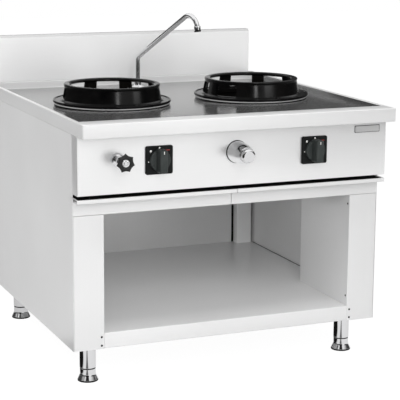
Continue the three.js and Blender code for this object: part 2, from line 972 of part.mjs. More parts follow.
function makeKnob(name, side) {
  const x = side * knobX;
  const plateFront = fittingFace - plateThickness;
  const outline = roundedOblong(plateSize, plateSize, plateCorner);
  const square = extruded(outline, "y", plateFront, fittingFace, cornerSteps);
  const hole = turnedAlongY(
    [
      [0, plateFront - over],
      [spindleHole, plateFront - over],
      [spindleHole, fittingFace + over],
      [0, fittingFace + over],
    ],
    0,
    0,
  );
  piece("knob_plate_" + name, square.subtract(hole).translate(x, 0, gasZ), darkPlastic);

  const rear = plateFront - seat;
  const spindleEnd = behindPanel + spindleBoreDepth - 2 * seat;
  const disc = turnedAlongY(
    [
      [0, spindleEnd],
      [spindleRadius, spindleEnd],
      [spindleRadius, rear],
      [knobRadius, rear],
      [knobRadius, rear - knobDisc + castEdge],
      [knobRadius - castEdge, rear - knobDisc],
      [0, rear - knobDisc],
    ],
    x,
    gasZ,
    sidesMid,
  );
  const arm = roundedOblong(gripWidth, gripLength, plateCorner);
  const gripRear = rear - knobDisc / 2;
  const grip = extruded(arm, "y", panelFront - gripFront, gripRear, cornerSteps);
  piece("knob_" + name, disc.add(grip.translate(x, 0, gasZ)), darkPlastic);
}

function makeStopValve() {
  const bonnetFront = panelFront - bonnetReach;
  const rosetteRear = fittingFace;
  const bore = stemRadius + seat;
  const body = turnedAlongY(
    [
      [0, bonnetFront + stemDepth + seat],
      [bore, bonnetFront + stemDepth + seat],
      [bore, bonnetFront],
      [bonnetRadius - castEdge, bonnetFront],
      [bonnetRadius, bonnetFront + castEdge],
      [bonnetRadius, rosetteRear - rosetteDepth],
      [rosetteRadius - 2 * castEdge, rosetteRear - rosetteDepth],
      [rosetteRadius, rosetteRear - rosetteDepth + 2 * castEdge],
      [rosetteRadius, rosetteRear],
      [bonnetRadius, rosetteRear],
      [bonnetRadius, behindPanel],
      [stopBodyRadius, behindPanel],
      [stopBodyRadius, behindPanel + stopBodyLength],
      [0, behindPanel + stopBodyLength],
    ],
    stopX,
    waterZ,
  );
  piece("stop_valve", body, brass);

  const star = new THREE.Shape();
  const steps = wheelLobes * lobeSteps;
  for (let i = 0; i < steps; i++) {
    const angle = (i / steps) * 2 * Math.PI;
    const dip = Math.abs(Math.sin((wheelLobes * angle) / 2));
    const radius = wheelRadius - wheelScallop * dip;
    const [u, v] = [radius * Math.sin(angle), radius * Math.cos(angle)];
    if (i) star.lineTo(u, v);
    else star.moveTo(u, v);
  }
  const hubRear = bonnetFront - seat;
  const starRear = hubRear - wheelHubLength;
  const starFront = starRear - wheelThickness;
  const rim = extruded(star, "y", starFront, starRear).translate(stopX, 0, waterZ);
  const dish = turnedAlongY(
    [
      [0, starFront - over],
      [wheelDish, starFront - over],
      [wheelDish - castEdge, starFront + wheelDishDepth],
      [0, starFront + wheelDishDepth],
    ],
    stopX,
    waterZ,
  );
  const hub = turnedAlongY(
    [
      [0, bonnetFront + stemDepth],
      [stemRadius, bonnetFront + stemDepth],
      [stemRadius, hubRear],
      [wheelHubRadius, hubRear],
      [wheelDish, starRear + breakEdge],
      [wheelDish, starFront + wheelThickness / 2],
      [0, starFront + wheelThickness / 2],
    ],
    stopX,
    waterZ,
  );
  piece("handwheel", rim.subtract(dish).add(hub), darkPlastic);
}

function makePushValve() {
  const bellFront = panelFront - bellReach;
  const socket = panelFront - buttonReach + buttonLength + buttonTravel + seat;
  const bore = buttonRadius + seat;
  const neck = pushBodyRadius - sheet;
  const body = turnedAlongY(
    [
      [0, socket],
      [bore, socket],
      [bore, bellFront],
      [bellFrontRadius, bellFront],
      [bellWaistRadius, bellFront + bellWaist],
      [bellRadius - 2 * castEdge, fittingFace - bellWaist / 2],
      [bellRadius, fittingFace],
      [neck, fittingFace],
      [neck, behindPanel],
      [pushBodyRadius, behindPanel],
      [pushBodyRadius, behindPanel + pushBodyLength],
      [0, behindPanel + pushBodyLength],
    ],
    pushX,
    waterZ,
    sidesMid,
  );
  piece("push_valve", body, chrome);
  const front = panelFront - buttonReach;
  const cap = turnedAlongY(
    [
      [0, front],
      [buttonRadius - 3 * castEdge, front + breakEdge],
      [buttonRadius - breakEdge, front + 2 * castEdge],
      [buttonRadius, front + 3 * castEdge],
      [buttonRadius, front + buttonLength],
      [0, front + buttonLength],
    ],
    pushX,
    waterZ,
    sidesMid,
  );
  piece("push_button", cap, chrome);
}

function makeWaterPipes() {
  const stopRear = behindPanel + stopBodyLength + seat;
  const supply = route([
    [supplyX, depth, waterZ],
    [supplyX, supplyY, waterZ],
    [stopX, supplyY, waterZ],
    [stopX, stopRear, waterZ],
  ]);
  piece("water_supply_pipe", bar(supply, waterRadius), pipeSteel);
  const link = route([
    [stopX, linkY, waterZ - stopBodyRadius - seat],
    [stopX, linkY, linkLevel],
    [pushX, linkY, linkLevel],
    [pushX, linkY, waterZ - pushBodyRadius - seat],
  ]);
  piece("valve_link_pipe", bar(link, waterRadius), pipeSteel);
  const shankEnd = recessFloor(tapY) - shankLength - seat;
  const riser = route([
    [pushX, linkY, waterZ + pushBodyRadius + seat],
    [pushX, linkY, riserLevel],
    [0, tapY, riserLevel],
    [0, tapY, shankEnd],
  ], riserCorner);
  piece("tap_riser_pipe", bar(riser, waterRadius), pipeSteel);
}

function makeTap() {
  const floor = recessFloor(tapY) + 2 * seat;
  const flangeTop = floor + tapFlangeThickness;
  const bodyTopZ = floor + tapBodyHeight;
  const bore = spoutRadius + seat;
  const socket = bodyTopZ - tapBodyHeight / 2;
  const base = turned(
    [
      [0, floor - shankLength],
      [shankRadius, floor - shankLength],
      [shankRadius, floor],
      [tapFlangeRadius, floor],
      [tapFlangeRadius, flangeTop - breakEdge],
      [tapBodyRadius + castEdge, flangeTop + breakEdge],
      [tapBodyRadius, flangeTop + 2 * castEdge],
      [tapBodyRadius, bodyTopZ - castEdge],
      [tapBodyRadius - castEdge, bodyTopZ],
      [bore, bodyTopZ],
      [bore, socket],
      [0, socket],
    ],
    0,
    tapY,
    sidesSmall,
  );
  piece("tap_base", base, chrome);

  const turn = THREE.MathUtils.degToRad(spoutTurn);
  const slope = THREE.MathUtils.degToRad(spoutSlope);
  const at = (reach, z) =>
    new THREE.Vector3(reach * Math.cos(turn), tapY + reach * Math.sin(turn), z);
  const bendZ = floor + spoutRise;
  const bend = at(0, bendZ);
  const crest = at(spoutRun, bendZ + spoutRun * Math.tan(slope));
  const lowest = at(0, socket + seat);
  const corner = route([lowest, bend, crest].map((p) => p.toArray()), spoutCorner);
  // The hook is an arc that starts along the slope and ends pointing down
  const middleReach = spoutRun + hookRadius * Math.sin(slope);
  const middleZ = crest.z - hookRadius * Math.cos(slope);
  const sweep = slope + THREE.MathUtils.degToRad(hookEnd);
  const hook = [];
  for (let i = 1; i <= hookSteps; i++) {
    const angle = Math.PI / 2 + slope - (i / hookSteps) * sweep;
    hook.push(
      at(middleReach + hookRadius * Math.cos(angle), middleZ + hookRadius * Math.sin(angle)),
    );
  }
  const spout = bar([...corner, ...hook], spoutRadius, sidesFew);

  // The nozzle is turned about the line of the hook's end
  const end = hook[hookSteps - 1];
  const heading = end.clone().sub(hook[hookSteps - 2]).normalize();
  const nozzle = new THREE.CylinderGeometry(nozzleRadius, nozzleRadius, nozzleLength, sidesSmall);
  nozzle.applyQuaternion(
    new THREE.Quaternion().setFromUnitVectors(new THREE.Vector3(0, 1, 0), heading),
  );
  nozzle.translate(end.x, end.y, end.z);
  piece("tap_spout", spout.add(solid(nozzle)), chrome);
}

function makeLeg(name, side, y) {
  const x = side * legX;
  const low = jointHeight + seat;
  const top = legHeight - seat;
  const plateLow = top - legPlateThickness;
  const bore = threadRadius + seat;
  const tube = turned(
    [
      [0, low + threadBore],
      [bore, low + threadBore],
      [bore, low],
      [legRadius - breakEdge, low],
      [legRadius, low + breakEdge],
      [legRadius, plateLow + breakEdge],
      [0, plateLow + breakEdge],
    ],
    x,
    y,
    sidesSmall,
  );
  const half = legPlate / 2;
  const plate = block(x - half, x + half, y - half, y + half, plateLow, top);
  piece("leg_" + name, tube.add(plate), chrome);

  const neckTop = jointHeight - collarHeight;
  const neckLow = padHeight + footBell;
  const collarRadius = legRadius - castEdge;
  const foot = turned(
    [
      [0, padHeight + seat],
      [footFlare - castEdge, padHeight + seat],
      [footFlare, padHeight + castEdge],
      [footFlare - breakEdge, padHeight + 3 * castEdge],
      [footNeck + 2 * castEdge, neckLow - footSlope],
      [footNeck, neckLow],
      [footNeck, neckTop - collarHeight],
      [collarRadius, neckTop],
      [collarRadius, jointHeight],
      [threadRadius, jointHeight],
      [threadRadius, jointHeight + threadLength],
      [0, jointHeight + threadLength],
    ],
    x,
    y,
    sidesSmall,
  );
  piece("foot_" + name, foot, chrome);
  const pad = turned(
    [
      [0, 0],
      [padRadius - breakEdge, 0],
      [padRadius, breakEdge],
      [padRadius, padHeight],
      [0, padHeight],
    ],
    x,
    y,
    sidesSmall,
  );
  piece("foot_pad_" + name, pad, blackRubber);
}

makeWorktop();
makeBacksplash();
makeControlPanel();
makeRearAndFloors();
makeShelf();
makeGasLine();
makeStopValve();
makePushValve();
makeWaterPipes();
makeTap();
for (const [name, side] of sides) {
  makeSidePanel("side_panel_" + name, side);
  makeColumn("front_column_" + name, side);
  makeRail("top_rail_" + name, side);
  makeLip("panel_lip_" + name, side);
  makeBeam("base_beam_" + name, side);
  makeRearPost("rear_post_" + name, side);
  makeSeatRing("seat_ring_" + name, side);
  makeWokRing("wok_ring_" + name, side, side < 0 ? firstWindowLeft : firstWindowRight);
  makeBurner(name, side);
  makeKnob(name, side);
  makeLeg("front_" + name, side, legFrontY);
  makeLeg("rear_" + name, side, depth - legRear);
}

// The push button is the foremost point and the backsplash the rearmost
range.position.y = -(panelFront - buttonReach + depth) / 2;

export default range;
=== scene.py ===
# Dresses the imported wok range: thin bent sheets, black cast rings, chrome tap, valves, knobs and legs
import json
import math
import bpy
import bmesh
import numpy as np
from mathutils import Matrix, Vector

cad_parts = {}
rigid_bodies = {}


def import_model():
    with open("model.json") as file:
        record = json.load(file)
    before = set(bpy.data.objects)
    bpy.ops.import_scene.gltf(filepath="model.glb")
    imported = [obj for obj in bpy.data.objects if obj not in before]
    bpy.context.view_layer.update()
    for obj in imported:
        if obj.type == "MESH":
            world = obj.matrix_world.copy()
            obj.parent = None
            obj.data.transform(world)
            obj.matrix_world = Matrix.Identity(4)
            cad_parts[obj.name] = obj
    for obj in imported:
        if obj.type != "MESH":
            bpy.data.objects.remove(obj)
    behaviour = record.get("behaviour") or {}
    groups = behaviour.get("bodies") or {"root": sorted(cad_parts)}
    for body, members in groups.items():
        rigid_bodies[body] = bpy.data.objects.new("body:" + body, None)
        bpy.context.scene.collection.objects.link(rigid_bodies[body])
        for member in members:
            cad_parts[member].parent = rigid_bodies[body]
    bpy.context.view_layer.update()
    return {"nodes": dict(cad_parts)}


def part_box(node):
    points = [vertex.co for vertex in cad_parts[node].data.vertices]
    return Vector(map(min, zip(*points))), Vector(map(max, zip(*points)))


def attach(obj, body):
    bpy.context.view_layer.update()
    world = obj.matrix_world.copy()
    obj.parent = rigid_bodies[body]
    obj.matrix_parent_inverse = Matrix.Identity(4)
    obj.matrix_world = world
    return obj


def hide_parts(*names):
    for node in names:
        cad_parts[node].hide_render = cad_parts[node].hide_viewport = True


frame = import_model()
shown = bpy.context.scene
sides = {"left": -1, "right": 1}
clear = 0.0003  # air between pieces that meet, in metres
print("frame loaded:", len(frame["nodes"]), "nodes")


# Low corner, high corner and middle of a node's box; the middle is half way between the corners
def boxOf(node):
    low, high = (np.array(corner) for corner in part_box(node))
    return low, high, (low + high) / 2


# Matrix whose columns are the directions right, up and back, and the place
def placed(right, up, back, place):
    turn = np.eye(4)
    turn[:3] = np.stack([right, up, back, place], 1)
    return Matrix(turn.tolist())


cameraView = {"place": (-1.9265, -4.7581, 1.5616), "yaw": 22.82, "down": 11.62, "roll": 0.41,
              "focalPixels": 1459.1, "imageWidth": 400, "sensor": 36, "clip": (0.1, 100)}


# Looks along (sin yaw cos down, cos yaw cos down, -sin down); right and up are turned by the roll
def makeCamera(v):
    yaw, down, roll = (math.radians(v[k]) for k in ("yaw", "down", "roll"))
    ahead = np.array([math.sin(yaw) * math.cos(down), math.cos(yaw) * math.cos(down), -math.sin(down)])
    right = np.array([math.cos(yaw), -math.sin(yaw), 0.0])
    up = np.cross(right, ahead)
    lens = bpy.data.cameras.new("photoCamera")
    lens.sensor_width = v["sensor"]
    lens.lens = v["sensor"] * v["focalPixels"] / v["imageWidth"]
    lens.clip_start, lens.clip_end = v["clip"]
    camera = bpy.data.objects.new("photoCamera", lens)
    rolledRight = right * math.cos(roll) + up * math.sin(roll)
    rolledUp = up * math.cos(roll) - right * math.sin(roll)
    camera.matrix_world = placed(rolledRight, rolledUp, -ahead, v["place"])
    shown.collection.objects.link(camera)
    shown.camera = camera


makeCamera(cameraView)
print("camera set")

shaping = {"tiny": 1e-9, "cornerShare": 0.49, "samePoint": 1e-7, "merge": 2e-6, "sliver": 1e-6, "bevelAngle": 35,
           "quarter": (0, 0.35, 0.7, 1)}
frames = {
    "z": (np.array([1.0, 0, 0]), np.array([0, 1.0, 0]), np.array([0, 0, 1.0])),
    "y": (np.array([1.0, 0, 0]), np.array([0, 0, 1.0]), np.array([0, 1.0, 0])),
    "x": (np.array([0, 1.0, 0]), np.array([0, 0, 1.0]), np.array([1.0, 0, 0])),
}


# Quads between neighbouring points of a rows x columns grid, round the rows or columns too where closed
def gridQuads(rows, columns, closedRows=False, closedColumns=True):
    i = np.arange(rows if closedRows else rows - 1)[:, None]
    j = np.arange(columns if closedColumns else columns - 1)[None, :]
    down, across = (i + 1) % rows, (j + 1) % columns
    corners = i * columns + j, i * columns + across, down * columns + across, down * columns + j
    return np.stack(np.broadcast_arrays(*corners), -1).reshape(-1, 4)


# The grid's quads and one face each over its first and its last row
def cappedFaces(rows, columns):
    caps = [list(range(columns)), list(range((rows - 1) * columns, rows * columns))]
    return gridQuads(rows, columns).tolist() + caps


# Corners of a line replaced by curves: (1-t)^2 a + 2t(1-t) p + t^2 b, with a and b at radius r before and after p
def softened(points, radius, steps=4, closedLine=False):
    p = np.asarray(points, float)
    r = np.broadcast_to(np.asarray(radius, float), (len(p),)).copy()
    before, after = np.roll(p, 1, 0), np.roll(p, -1, 0)
    if not closedLine:
        r[[0, -1]] = 0
        before[0], after[-1] = p[0], p[-1]
    toBefore, toAfter = before - p, after - p
    lengthBefore = np.maximum(np.linalg.norm(toBefore, axis=1), shaping["tiny"])
    lengthAfter = np.maximum(np.linalg.norm(toAfter, axis=1), shaping["tiny"])
    r = np.minimum(r, shaping["cornerShare"] * np.where(r > 0, np.minimum(lengthBefore, lengthAfter), 1))
    a = p + toBefore * (r / lengthBefore)[:, None]
    b = p + toAfter * (r / lengthAfter)[:, None]
    t = np.linspace(0, 1, steps + 1)[None, :, None]
    curve = (1 - t) ** 2 * a[:, None] + 2 * t * (1 - t) * p[:, None] + t ** 2 * b[:, None]
    line = curve.reshape(-1, p.shape[1])
    keep = np.linalg.norm(line - np.roll(line, 1, 0), axis=1) > shaping["samePoint"]
    keep[0] = keep[0] or not closedLine
    return line[keep]


# The same for rows of two coordinates and the corner's radius, which is 0 where it is left out
def softRows(rows, steps=4, closedLine=False):
    rows = np.array([(*row, 0)[:3] for row in rows], float)
    return softened(rows[:, :2], rows[:, 2], steps, closedLine)


# Steps of an edge rounded with radius e: e (1 - sin q) and e (1 - cos q), q over a quarter turn
def roundedEdge(e):
    q = np.array(shaping["quarter"]) * np.pi / 2
    return e * (1 - np.sin(q)), e * (1 - np.cos(q))


# Turned form: P(k, a) = centre + r(k) (cos a u + sin a v) + h(k) w, for rows of radius, height and corner
def turned(rows, centre, axis="z", flats=64, steps=4, closedLine=False, wave=None):
    line = softRows(rows, steps, closedLine)
    angle = np.arange(flats) * 2 * np.pi / flats
    u, v, w = frames[axis]
    r = line[:, :1] * np.ones(flats)
    if wave is not None:
        r = wave(r, line[:, 1:], angle[None, :])
    points = np.asarray(centre, float) + r[..., None] * (np.cos(angle)[:, None] * u + np.sin(angle)[:, None] * v)
    points = points + line[:, 1][:, None, None] * w
    return points.reshape(-1, 3), gridQuads(len(line), flats, closedLine).tolist()


# Section drawn out along an axis: P(i, s) = section(i) + s w, with both ends closed
def drawnOut(section, axis, start, end):
    u, v, w = frames[axis]
    n = len(section)
    flat = section[:, :1] * u + section[:, 1:] * v
    ends = [list(range(n)), list(range(n, 2 * n))[::-1]]
    return np.vstack([flat + start * w, flat + end * w]), gridQuads(2, n).tolist() + ends


# Section of a bent sheet: an outer line with its bends softened, and the same line moved inwards by the gauge
def bentSheet(points, gauge, bend, inward):
    p = np.asarray(points, float)
    along = np.diff(p, axis=0)
    along /= np.linalg.norm(along, axis=1)[:, None]
    normal = np.stack([-along[:, 1], along[:, 0]], 1) * inward
    first, last = np.vstack([normal[:1], normal]), np.vstack([normal, normal[-1:]])
    mitre = (first + last) / (1 + (first * last).sum(1))[:, None]
    inner = p + mitre * gauge
    turnSide = np.zeros(len(p))
    turnSide[1:-1] = along[:-1, 0] * along[1:, 1] - along[:-1, 1] * along[1:, 0]
    outerBend = np.where(turnSide * inward > 0, bend + gauge, bend)
    innerBend = np.where(turnSide * inward > 0, bend, bend + gauge)
    return np.vstack([softened(p, outerBend), softened(inner, innerBend)[::-1]])


# Rings of a rounded oblong: corner centre + c (cos a, sin a), each ring with its own sides, corner and height
def oblongRings(x0, x1, y0, y1, height, corner, axis="z", capped=True, steps=5):
    x0, x1, y0, y1, height, corner = (np.asarray(q, float)[:, None] for q in np.broadcast_arrays(
        *(np.atleast_1d(q) for q in (x0, x1, y0, y1, height, corner))))
    angle = (np.linspace(0, np.pi / 2, steps + 1)[None] + np.arange(4)[:, None] * np.pi / 2).ravel()[None]
    quadrant = np.repeat(np.arange(4), steps + 1)[None]
    toRight, toRear = (quadrant == 0) | (quadrant == 3), quadrant < 2
    x = np.where(toRight, x1 - corner, x0 + corner) + corner * np.cos(angle)
    y = np.where(toRear, y1 - corner, y0 + corner) + corner * np.sin(angle)
    u, v, w = frames[axis]
    points = x[..., None] * u + y[..., None] * v + (height * np.ones_like(x))[..., None] * w
    return points.reshape(-1, 3), cappedFaces(*x.shape) if capped else gridQuads(*x.shape).tolist()


# Round bar: P(s, a) = path(s) + r (cos a n + sin a t x n), for a path that lies in the plane square to n
def roundBar(path, radius, normal, flats=24):
    p = np.asarray(path, float)
    along = np.gradient(p, axis=0)
    along /= np.linalg.norm(along, axis=1)[:, None]
    n = np.broadcast_to(np.asarray(normal, float) / np.linalg.norm(normal), p.shape)
    side = np.cross(along, n)
    side /= np.linalg.norm(side, axis=1)[:, None]
    angle = (np.arange(flats) * 2 * np.pi / flats)[None, :, None]
    r = np.broadcast_to(np.asarray(radius, float), (len(p),))[:, None, None]
    points = p[:, None] + r * (np.cos(angle) * n[:, None] + np.sin(angle) * side[:, None])
    return points.reshape(-1, 3), cappedFaces(len(p), flats)


# One mesh from several lists of points and faces: doubles merged, faces turned out, sharp above smoothBelow degrees
def makePiece(name, parts, material, body="range", stands=None, bevel=0.0, gauge=0.0, smoothBelow=35, upright=None):
    points = np.vstack([partPoints for partPoints, _ in parts])
    shifts = np.cumsum([0] + [len(partPoints) for partPoints, _ in parts]).tolist()
    faces = [[k + shift for k in face] for (_, partFaces), shift in zip(parts, shifts) for face in partFaces]
    mesh = bpy.data.meshes.new(name)
    mesh.from_pydata(points.tolist(), [], faces)
    work = bmesh.new()
    work.from_mesh(mesh)
    bmesh.ops.remove_doubles(work, verts=work.verts, dist=shaping["merge"])
    bmesh.ops.dissolve_degenerate(work, edges=work.edges, dist=shaping["sliver"])
    bmesh.ops.recalc_face_normals(work, faces=work.faces)
    if upright is not None and sum(f.normal.dot(upright) * f.calc_area() for f in work.faces) < 0:
        bmesh.ops.reverse_faces(work, faces=work.faces)
    work.to_mesh(mesh)
    work.free()
    mesh.shade_smooth()
    mesh.set_sharp_from_angle(angle=math.radians(smoothBelow))
    piece = bpy.data.objects.new(name, mesh)
    shown.collection.objects.link(piece)
    mesh.materials.append(material)
    if gauge:
        sharpenRim(mesh)
        wall = piece.modifiers.new("gauge", "SOLIDIFY")
        wall.thickness, wall.offset = gauge, -1
    if bevel:
        edge = piece.modifiers.new("edge", "BEVEL")
        edge.width, edge.segments, edge.limit_method = bevel, 2, "ANGLE"
        edge.angle_limit = math.radians(shaping["bevelAngle"])
        edge.harden_normals = True
    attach(piece, body)
    if stands:
        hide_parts(stands)


# Edges used by one face only are marked sharp, so that an open sheet's rim stays crisp when the gauge is added
def sharpenRim(mesh):
    used = np.zeros(len(mesh.loops), int)
    mesh.loops.foreach_get("edge_index", used)
    openEdge = np.bincount(used, minlength=len(mesh.edges)) == 1
    sharp = mesh.attributes.get("sharp_edge") or mesh.attributes.new("sharp_edge", "BOOLEAN", "EDGE")
    crisp = np.zeros(len(mesh.edges), bool)
    sharp.data.foreach_get("value", crisp)
    sharp.data.foreach_set("value", crisp | openEdge)


# A piece of the left or right side, which stands for the node with the same ending
def sidePiece(label, node, name, parts, material, **more):
    makePiece(label + name.title(), parts, material, stands=node + "_" + name, **more)


class NodeTree:
    # Short ways to add and link nodes
    def __init__(self, tree):
        self.tree = tree

    def node(self, kind, links=None, **values):
        made = self.tree.nodes.new("ShaderNode" + kind)
        for key, value in values.items():
            setattr(made, key, value)
        for socket, source in (links or {}).items():
            self.join(source, made.inputs[socket])
        return made

    def join(self, source, socket):
        if isinstance(source, bpy.types.NodeSocket):
            self.tree.links.new(source, socket)
        else:
            socket.default_value = source

    # low where the source is fromLow, high where it is fromHigh, level beyond them
    def ramp(self, source, low, high, fromLow=0.0, fromHigh=1.0, kind="LINEAR"):
        links = {"Value": source, "From Min": fromLow, "From Max": fromHigh, "To Min": low, "To Max": high}
        return self.node("MapRange", links, interpolation_type=kind).outputs["Result"]

    def maths(self, operation, *sources):
        return self.node("Math", dict(enumerate(sources)), operation=operation).outputs[0]

    def times(self, one, two):
        return self.maths("MULTIPLY", one, two)

    def less(self, source):
        return self.maths("SUBTRACT", 1.0, source)

    # a number for a length, distance or dot product, else a vector
    def vector(self, operation, one, two=None):
        links = {0: one} if two is None else {0: one, 3 if operation == "SCALE" else 1: two}
        made = self.node("VectorMath", links, operation=operation)
        return made.outputs["Value" if operation in ("LENGTH", "DISTANCE", "DOT_PRODUCT") else "Vector"]


class Finish(NodeTree):
    # A material on Object coordinates
    def __init__(self, name, **sockets):
        self.material = bpy.data.materials.new(name)
        self.material.use_nodes = True
        super().__init__(self.material.node_tree)
        self.shader = self.tree.nodes["Principled BSDF"]
        self.place = self.node("TexCoord").outputs["Object"]
        for socket, value in sockets.items():
            self.shader.inputs[socket.replace("_", " ")].default_value = value

    def noise(self, scale, detail=3.0, rough=0.55, stretch=(1, 1, 1)):
        mapped = self.node("Mapping", {"Vector": self.place, "Scale": stretch})
        links = {"Vector": mapped.outputs[0], "Scale": scale, "Detail": detail, "Roughness": rough}
        return self.node("TexNoise", links).outputs["Fac"]

    # 0 to 1 where the noise passes from start to end
    def patches(self, noise, start, end):
        return self.ramp(noise, 0.0, 1.0, start, end)

    def blend(self, share, one, two):
        made = self.node("Mix", data_type="RGBA")
        for socket, source in ((0, share), (6, one), (7, two)):
            self.join(source, made.inputs[socket])
        return made.outputs[2]

    def bump(self, height, distance, strength=1.0):
        made = self.node("Bump", {"Height": height, "Distance": distance, "Strength": strength})
        self.join(made.outputs[0], self.shader.inputs["Normal"])

    def color(self, source):
        self.join(source, self.shader.inputs["Base Color"])

    def rough(self, source):
        self.join(source, self.shader.inputs["Roughness"])

    def linked(self, socket):
        return self.shader.inputs[socket].links[0].from_socket

    # the colour scaled by a factor where the share is 1: painted shade
    def paintedShade(self, share, factor):
        old = self.linked("Base Color")
        self.color(self.blend(share, old, self.vector("SCALE", old, factor)))


brushing = {"across": 650.0, "along": 5.0, "middle": (0.3, 0.7), "grainTone": 0.006, "grainRough": 0.008,
            "rubRough": 0.05, "rubStretch": (1, 1, 2.5), "bump": 0.000001, "bumpShare": 0.04}


# Brushed sheet: tone times clouds times long fine grain; roughness with the grain's and a few soft rub marks
def brushedSheet(name, grainAxis, tone, rough, metal=0.32, cloud=0.03):
    v = brushing
    made = Finish(name, Metallic=metal)
    fine = made.noise(1.0, 1.0, 0.4, tuple(v["along"] if axis == grainAxis else v["across"] for axis in "xyz"))
    soft = made.noise(2.3, 2.0, 0.5)
    rubs = made.patches(made.noise(6.0, 5.0, 0.7, v["rubStretch"]), 0.58, 0.75)
    clouds = made.ramp(soft, 1 - cloud, 1 + cloud, *v["middle"])
    light = made.times(clouds, made.ramp(fine, 1 - v["grainTone"], 1 + v["grainTone"], *v["middle"]))
    made.color(made.vector("SCALE", (tone, tone, tone), light))
    grainRough = made.ramp(fine, rough - v["grainRough"], rough + v["grainRough"], *v["middle"])
    made.rough(made.maths("ADD", grainRough, made.times(rubs, v["rubRough"])))
    made.bump(fine, v["bump"], v["bumpShare"])
    return made


# grain axis, tone, roughness, metal, clouds
satinAcross = brushedSheet("satinAcross", "x", 0.80, 0.3).material
satinUp = brushedSheet("satinUp", "z", 0.80, 0.3).material
panelSatin = brushedSheet("panelSatin", "x", 0.96, 0.3, 0.7).material
# the rear posts' copy of the sheet is paler and less metallic than the others: painted light, so the posts show lit
# inside the cabinet
postSatin = brushedSheet("postSatin", "z", 0.95, 0.34, 0.10).material
shelfSatin = brushedSheet("shelfSatin", "x", 0.80, 0.34, 0.12, 0.02).material
hiddenSheet = brushedSheet("hiddenSheet", "x", 0.55, 0.4, 0.6).material

# the worktop's tone sits below the other sheets as painted shade against the stronger light it gets; paintedShade is
# the painted shade in the pan
panFinish = {"tone": 0.74, "rough": 0.3, "paintedShade": 0.45, "smoother": 0.10, "rimMetal": 0.32, "moreMetal": 0.56,
             "below": 0.0012, "aside": 0.0005, "ahead": 0.003}


# The worktop's pressed pan, where x, y and z lie within the recess, is smoother and more metallic than its rim, and its
# colour is painted darker there as shade
def panAndRim(v, recess):
    made = brushedSheet("panAndRim", "x", v["tone"], v["rough"])
    x, y, z = made.node("SeparateXYZ", {0: made.place}).outputs
    inside = made.maths("LESS_THAN", z, recess["top"] - v["below"])
    inside = made.times(inside, made.maths("GREATER_THAN", y, recess["front"] - v["aside"]))
    inside = made.times(inside, made.maths("LESS_THAN", y, recess["rear"] - v["ahead"]))
    across = made.maths("ABSOLUTE", x)
    inside = made.times(inside, made.maths("LESS_THAN", across, recess["half"] + v["aside"]))
    # painted shade: the colour is darkened inside the recess
    made.paintedShade(inside, v["paintedShade"])
    made.rough(made.maths("SUBTRACT", made.linked("Roughness"), made.times(inside, v["smoother"])))
    metal = made.maths("ADD", v["rimMetal"], made.times(inside, v["moreMetal"]))
    made.join(metal, made.shader.inputs["Metallic"])
    return made.material


splashFinish = {"tone": 0.90, "rough": 0.30, "metal": 0.36, "paintedShade": 0.62, "blend": 0.0004}


# The backsplash's leaning top edge, above the height given, is painted greyer than its front: painted shade on the top
# face
def splashAndTop(v, topEdge):
    made = brushedSheet("splashSatin", "x", v["tone"], v["rough"], v["metal"])
    z = made.node("SeparateXYZ", {0: made.place}).outputs[2]
    # painted shade: the colour above the top edge's height is darkened
    made.paintedShade(made.ramp(z, 0.0, 1.0, topEdge, topEdge + v["blend"]), v["paintedShade"])
    return made.material


# Black enamel on cast iron: fine orange peel, and patches a little browner and rougher
def castEnamel():
    made = Finish("castEnamel", Metallic=0.0, IOR=1.45, Specular_IOR_Level=0.19)
    peel = made.noise(420.0, 3.0, 0.6)
    patch = made.noise(14.0, 4.0, 0.6)
    made.color(made.blend(made.patches(patch, 0.35, 0.75), (0.0012, 0.0012, 0.0013, 1), (0.0035, 0.0033, 0.0032, 1)))
    made.rough(made.ramp(patch, 0.15, 0.21, 0.3, 0.7))
    made.bump(peel, 0.00006, 0.35)
    return made.material


# Bare cast iron: gritty, with brown patches of rust
def castIron():
    made = Finish("castIron", Metallic=0.55)
    grit = made.noise(260.0, 6.0, 0.7)
    rust = made.patches(made.noise(22.0, 5.0, 0.65), 0.5, 0.8)
    made.color(made.blend(rust, (0.035, 0.033, 0.031, 1), (0.075, 0.045, 0.03, 1)))
    made.rough(made.ramp(grit, 0.55, 0.8))
    made.bump(grit, 0.0005, 0.6)
    return made.material


# Matte moulded plastic with a fine spark-eroded grain, paler by wear in patches
def mouldedPlastic(name, tone, rough=0.48, wear=0.02, shine=0.25):
    made = Finish(name, Metallic=0.0, Specular_IOR_Level=shine)
    grain = made.noise(900.0, 2.0, 0.5)
    patch = made.noise(35.0, 3.0, 0.6)
    worn = tuple(min(c + wear, 1) for c in tone)
    made.color(made.blend(made.patches(patch, 0.35, 0.75), (*tone, 1), (*worn, 1)))
    made.rough(made.ramp(patch, rough - 0.05, rough + 0.06, 0.3, 0.7))
    made.bump(grain, 0.00008, 0.5)
    return made.material


# Polished chrome: wide faint patches, and small spots that are a little rougher
def polishedChrome(tone, rough):
    made = Finish("polishedChrome", Metallic=1.0)
    patch = made.noise(9.0, 3.0, 0.5)
    spots = made.patches(made.noise(120.0, 3.0, 0.6), 0.62, 0.8)
    clean, dull = (tone, tone, tone * 1.01, 1), (tone * 0.97, tone * 0.97, tone * 0.98, 1)
    made.color(made.blend(made.patches(patch, 0.3, 0.7), clean, dull))
    made.rough(made.maths("ADD", made.ramp(patch, rough, rough + 0.03, 0.3, 0.7), made.times(spots, 0.03)))
    return made.material


# Drawn tube and turned brass: fine lines in the roughness, and darker stains
def turnedMetal(name, tone, rough):
    made = Finish(name, Metallic=1.0)
    lines = made.noise(300.0, 3.0, 0.6)
    stain = made.patches(made.noise(30.0, 4.0, 0.6), 0.45, 0.75)
    made.color(made.blend(stain, (*tone, 1), (*(c * 0.72 for c in tone), 1)))
    made.rough(made.ramp(lines, rough - 0.06, rough + 0.08))
    made.bump(lines, 0.00006, 0.4)
    return made.material


